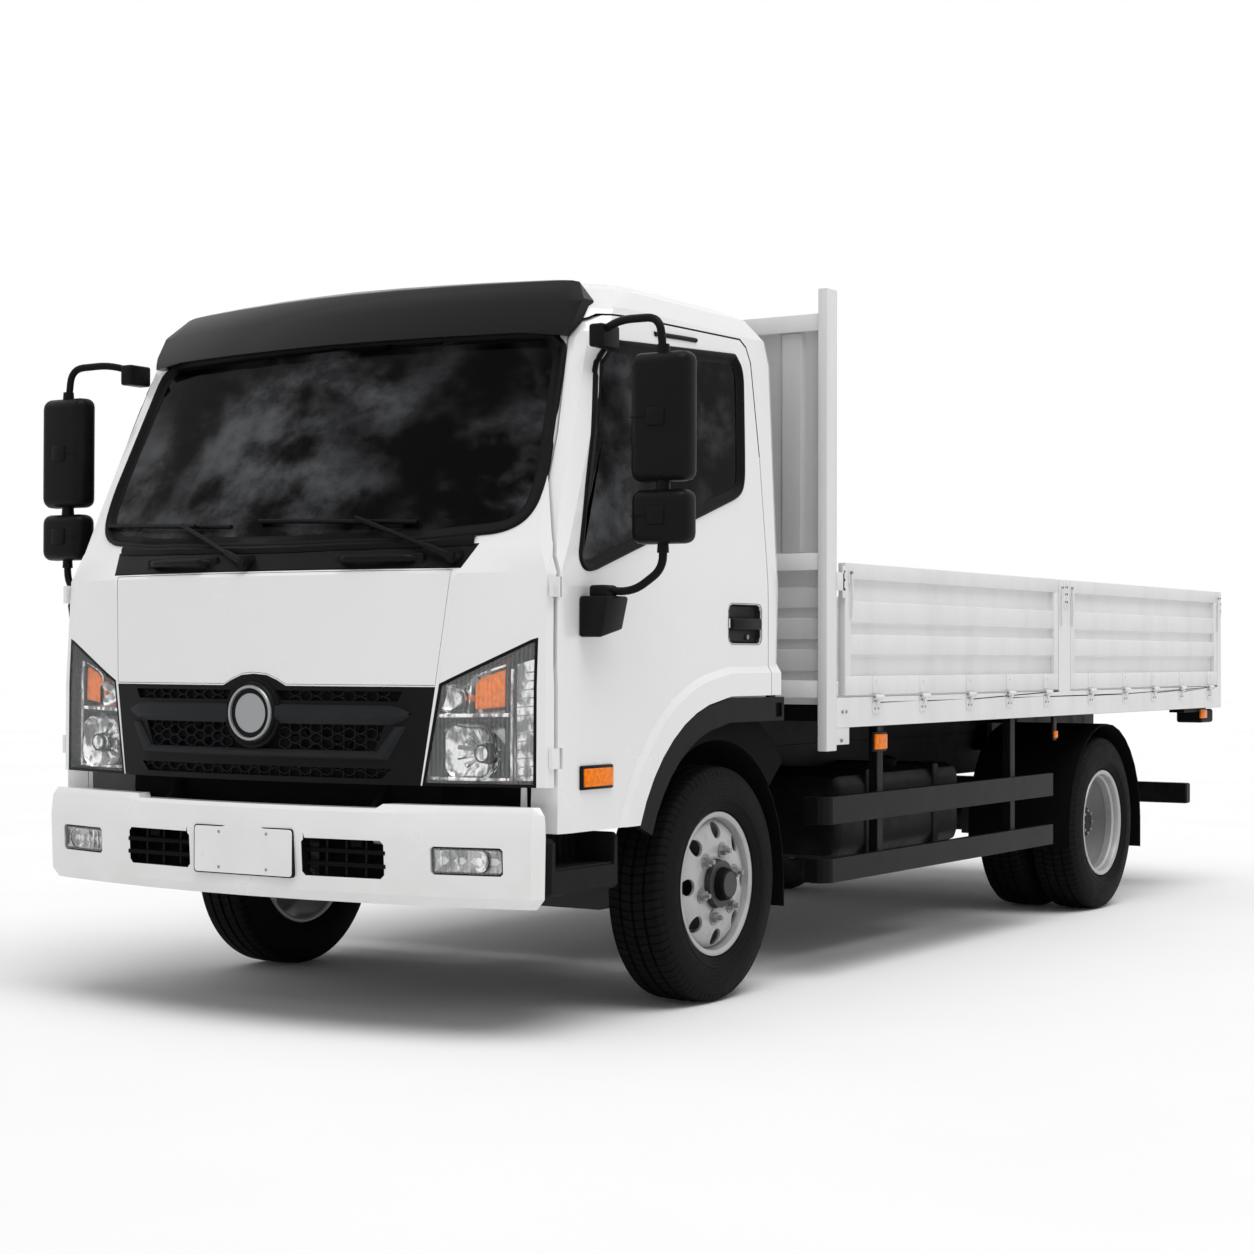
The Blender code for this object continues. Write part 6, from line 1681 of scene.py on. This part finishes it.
class FLATBED_OT_underside(bpy.types.Operator):
    """Finishes the frame, running gear, tank, guards, steps and mudguards"""

    bl_idname = "flatbed.underside"
    bl_label = "Chassis"
    bl_options = {"REGISTER", "UNDO"}

    # CAD nodes, the pairs by their name up to the side, with their finish and slot
    plain = (("chassis_frame", "frame_black_paint", "chassis_black"),
             ("engine_block", "rough_casting", "cast_iron"),
             ("propshaft", "rough_casting", "cast_iron"),
             ("radiator", "aluminised_steel", "dark_metal"),
             ("front_axle", "rough_casting", "cast_iron"),
             ("rear_axle", "rough_casting", "cast_iron"),
             ("knuckle_", "rough_casting", "cast_iron"),
             ("fuel_tank", "frame_black_paint", "chassis_black"),
             ("battery_box", "grained_black_plastic", "black_plastic"),
             ("exhaust", "aluminised_steel", "dark_metal"),
             ("side_guard_", "satin_black_plastic", "black_plastic"),
             ("step_", "grained_black_plastic", "black_plastic"),
             ("front_mudguard_", "matt_black_plastic", "black_plastic"),
             ("rear_mudguard_", "matt_black_plastic", "black_plastic"),
             ("underrun_bar", "frame_black_paint", "chassis_black"))

    def execute(self, context):
        for name, finish, slot in self.plain:
            for side in ("left", "right") if name.endswith("_") else ("",):
                refined(name + side, finish, suffix="_fine")
        self.reflectors()
        self.step_treads()
        return {"FINISHED"}

    def reflectors(self):
        """Amber reflectors on their holders, one on the guard and one behind it."""
        for side, sign in SIDES:
            piece = Piece("side_reflector_" + side, "chassis", "black_plastic")
            low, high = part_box("side_guard_" + side)
            reach = high.x if sign > 0 else -low.x
            for xs, ys, zs, rounding, steps, finish in (
                    ((reach - 0.016, reach - 0.004), (-0.845, -0.728), (0.784, 0.856), 0.004, 2,
                     "satin_black_plastic"),
                    ((reach - 0.030, reach - 0.010), (-0.800, -0.773), (0.780, 0.935), 0.003, 2,
                     "satin_black_plastic"),
                    ((reach - 0.006, reach + 0.004), (-0.835, -0.738), (0.792, 0.848), 0.004, 3,
                     "amber_lens"),
                    ((1.020, 1.032), (0.885, 0.925), (0.775, 0.878), 0.003, 2,
                     "satin_black_plastic"),
                    ((1.030, 1.040), (0.888, 0.922), (0.785, 0.815), 0.003, 2, "amber_lens")):
                piece.add(side_box(sign, xs, ys, zs, rounding, steps), finish)
            piece.done()

    def step_treads(self):
        """Ribs on each step's tread and on the riser behind it."""
        for side, sign in SIDES:
            piece = Piece("step_tread_" + side, "chassis", "black_plastic",
                          "grained_black_plastic")
            for n in range(7):
                x = 0.842 + 0.020 * n
                piece.add(side_box(sign, (x, x + 0.007), (-2.816, -2.504), (0.499, 0.507),
                                   0.0015, 1))
            for n in range(9):
                y = -2.800 + n * 0.034
                piece.add(side_box(sign, (0.829, 0.836), (y, y + 0.012), (0.512, 0.590),
                                   0.0015, 1))
            piece.done(angle=30.0)


class FLATBED_OT_interior(bpy.types.Operator):
    """Builds the seats, dashboard and steering wheel behind the glass"""

    bl_idname = "flatbed.interior"
    bl_label = "Interior"
    bl_options = {"REGISTER", "UNDO"}

    def execute(self, context):
        refined("dashboard", "dash_vinyl", 0.012, 3)
        refined("steering_wheel", "dash_vinyl", 0.0)
        self.seats()
        return {"FINISHED"}

    def seats(self):
        base = Piece("seat_plinth", "cab", "dark_trim", "dash_vinyl")
        low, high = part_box("seats")
        base.add(box((low.x + 0.004, low.y + 0.055, low.z + 0.002),
                     (high.x - 0.004, high.y - 0.05, 1.255), 0.02, 3))
        base.done(angle=40.0, replaces=["seats"])
        lean = (Matrix.Translation((0, -1.70, 1.33)) @ Matrix.Rotation(-0.10, 4, "X")
                @ Matrix.Translation((0, 1.70, -1.33)))
        for name, left, right in (("driver", -0.785, -0.265), ("passenger", -0.135, 0.785)):
            for part, ys, zs, thin in (("cushion", (-2.176, -1.675), (1.245, 1.388), 2),
                                       ("back", (-1.745, -1.605), (1.330, 1.890), 1)):
                pad = self.pad((left, right), ys, zs, thin)
                if part == "back":
                    moved(pad, lean)
                piece = Piece("seat_%s_%s" % (name, part), "cab", "dark_trim", "seat_cloth")
                piece.add(pad)
                thing = piece.done(angle=180.0)
                smooth = thing.modifiers.new("soft", "SUBSURF")
                smooth.levels = smooth.render_levels = 2

    def pad(self, xs, ys, zs, thin):
        """A cushion that gets thinner to its rim, along the axis called thin."""
        spans = (xs, ys, zs)
        form = box([span[0] for span in spans], [span[1] for span in spans])
        bmesh.ops.subdivide_edges(form, edges=form.edges[:], cuts=5, use_grid_fill=True)
        middle = Vector([sum(span) / 2 for span in spans])
        half = Vector([(span[1] - span[0]) / 2 for span in spans])
        for vert in form.verts:
            share = [(vert.co[k] - middle[k]) / half[k] for k in range(3)]
            reach = max(abs(share[k]) for k in range(3) if k != thin)
            crown = 1.0 - 0.22 * reach ** 4
            vert.co[thin] = middle[thin] + share[thin] * half[thin] * crown
        return form


class FLATBED_OT_studio(bpy.types.Operator):
    """Sets the camera, the pale floor and the soft studio light"""

    bl_idname = "flatbed.studio"
    bl_label = "Studio"
    bl_options = {"REGISTER", "UNDO"}

    # The photo's camera: place in metres, yaw, pitch and roll in degrees
    lens = 66.463
    shift = (0.00133, -0.00132)
    place = (4.747, -8.426, 1.127)
    angles = (32.221, 0.774, 0.143)

    def execute(self, context):
        scene = context.scene
        scene.view_settings.view_transform = "Standard"
        camera = bpy.data.cameras.new("photo_camera")
        camera.sensor_width = 36.0
        camera.lens = self.lens
        camera.shift_x, camera.shift_y = self.shift
        camera.clip_end = 200.0
        thing = linked("photo_camera", camera)
        yaw, pitch, roll = (math.radians(a) for a in self.angles)
        turn = (Matrix.Rotation(yaw, 4, "Z") @ Matrix.Rotation(math.pi / 2 + pitch, 4, "X")
                @ Matrix.Rotation(roll, 4, "Z"))
        thing.matrix_world = Matrix.Translation(self.place) @ turn
        scene.camera = thing
        self.floor()
        self.world(scene)
        self.lamps()
        return {"FINISHED"}

    def floor(self):
        bm = bmesh.new()
        bmesh.ops.create_grid(bm, x_segments=1, y_segments=1, size=60.0)
        thing = object_of("studio_floor", bm, ["pale_floor"])
        thing.location.z = -0.001

    def world(self, scene):
        """White for the camera and in mirrors and glass, and dimmer as a light."""
        scene.world = bpy.data.worlds.new("studio")
        scene.world.use_nodes = True
        tree = scene.world.node_tree
        tree.nodes.clear()

        def add(kind, **settings):
            node = tree.nodes.new("ShaderNode" + kind)
            for label, value in settings.items():
                setattr(node, label, value)
            return node

        path, strength = add("LightPath"), add("MapRange")
        seen = add("Math", operation="ADD", use_clamp=True)
        both = add("Math", operation="ADD")
        back, out = add("Background"), add("OutputWorld")
        strength.inputs["To Min"].default_value = 0.46
        strength.inputs["To Max"].default_value = 1.0
        back.inputs["Color"].default_value = (1.0, 1.0, 1.0, 1.0)
        for start, end in ((path.outputs["Is Camera Ray"], seen.inputs[0]),
                           (path.outputs["Is Glossy Ray"], both.inputs[0]),
                           (path.outputs["Is Transmission Ray"], both.inputs[1]),
                           (both.outputs[0], seen.inputs[1]),
                           (seen.outputs[0], strength.inputs["Value"]),
                           (strength.outputs["Result"], back.inputs["Strength"]),
                           (back.outputs[0], out.inputs["Surface"])):
            tree.links.new(start, end)

    def lamps(self):
        for name, way, power, size in (("key", (-0.50, 0.28, -1.5), 1.9, 45.0),
                                       ("fill", (0.6, 0.6, -1.3), 0.12, 60.0)):
            lamp = bpy.data.lights.new(name, "SUN")
            lamp.energy = power
            lamp.angle = math.radians(size)
            thing = linked(name, lamp)
            thing.rotation_euler = Vector(way).to_track_quat("-Z", "Y").to_euler()


class FLATBED_PT_panel(bpy.types.Panel):
    bl_idname = "FLATBED_PT_panel"
    bl_label = "Flatbed truck"
    bl_space_type = "VIEW_3D"
    bl_region_type = "UI"
    bl_category = "Flatbed"

    def draw(self, context):
        for group in (context.scene.flatbed_colours, context.scene.flatbed_sizes):
            for name in group.__annotations__:
                self.layout.prop(group, name)
        for operator in OPERATORS:
            self.layout.operator(operator.bl_idname)


OPERATORS = (FLATBED_OT_tyres, FLATBED_OT_wheels, FLATBED_OT_cab, FLATBED_OT_glass,
             FLATBED_OT_front, FLATBED_OT_lamps, FLATBED_OT_bumper, FLATBED_OT_doors,
             FLATBED_OT_bed, FLATBED_OT_underside, FLATBED_OT_interior, FLATBED_OT_studio)
CLASSES = (FlatbedColours, FlatbedSizes, *OPERATORS, FLATBED_PT_panel)


def register():
    for item in CLASSES:
        bpy.utils.register_class(item)
    bpy.types.Scene.flatbed_colours = PointerProperty(type=FlatbedColours)
    bpy.types.Scene.flatbed_sizes = PointerProperty(type=FlatbedSizes)


def unregister():
    del bpy.types.Scene.flatbed_sizes
    del bpy.types.Scene.flatbed_colours
    for item in reversed(CLASSES):
        bpy.utils.unregister_class(item)


def main():
    register()
    build_finishes(bpy.context.scene.flatbed_colours)
    for operator in OPERATORS:
        group, name = operator.bl_idname.split(".")
        getattr(getattr(bpy.ops, group), name)()


if __name__ == "__main__":
    main()
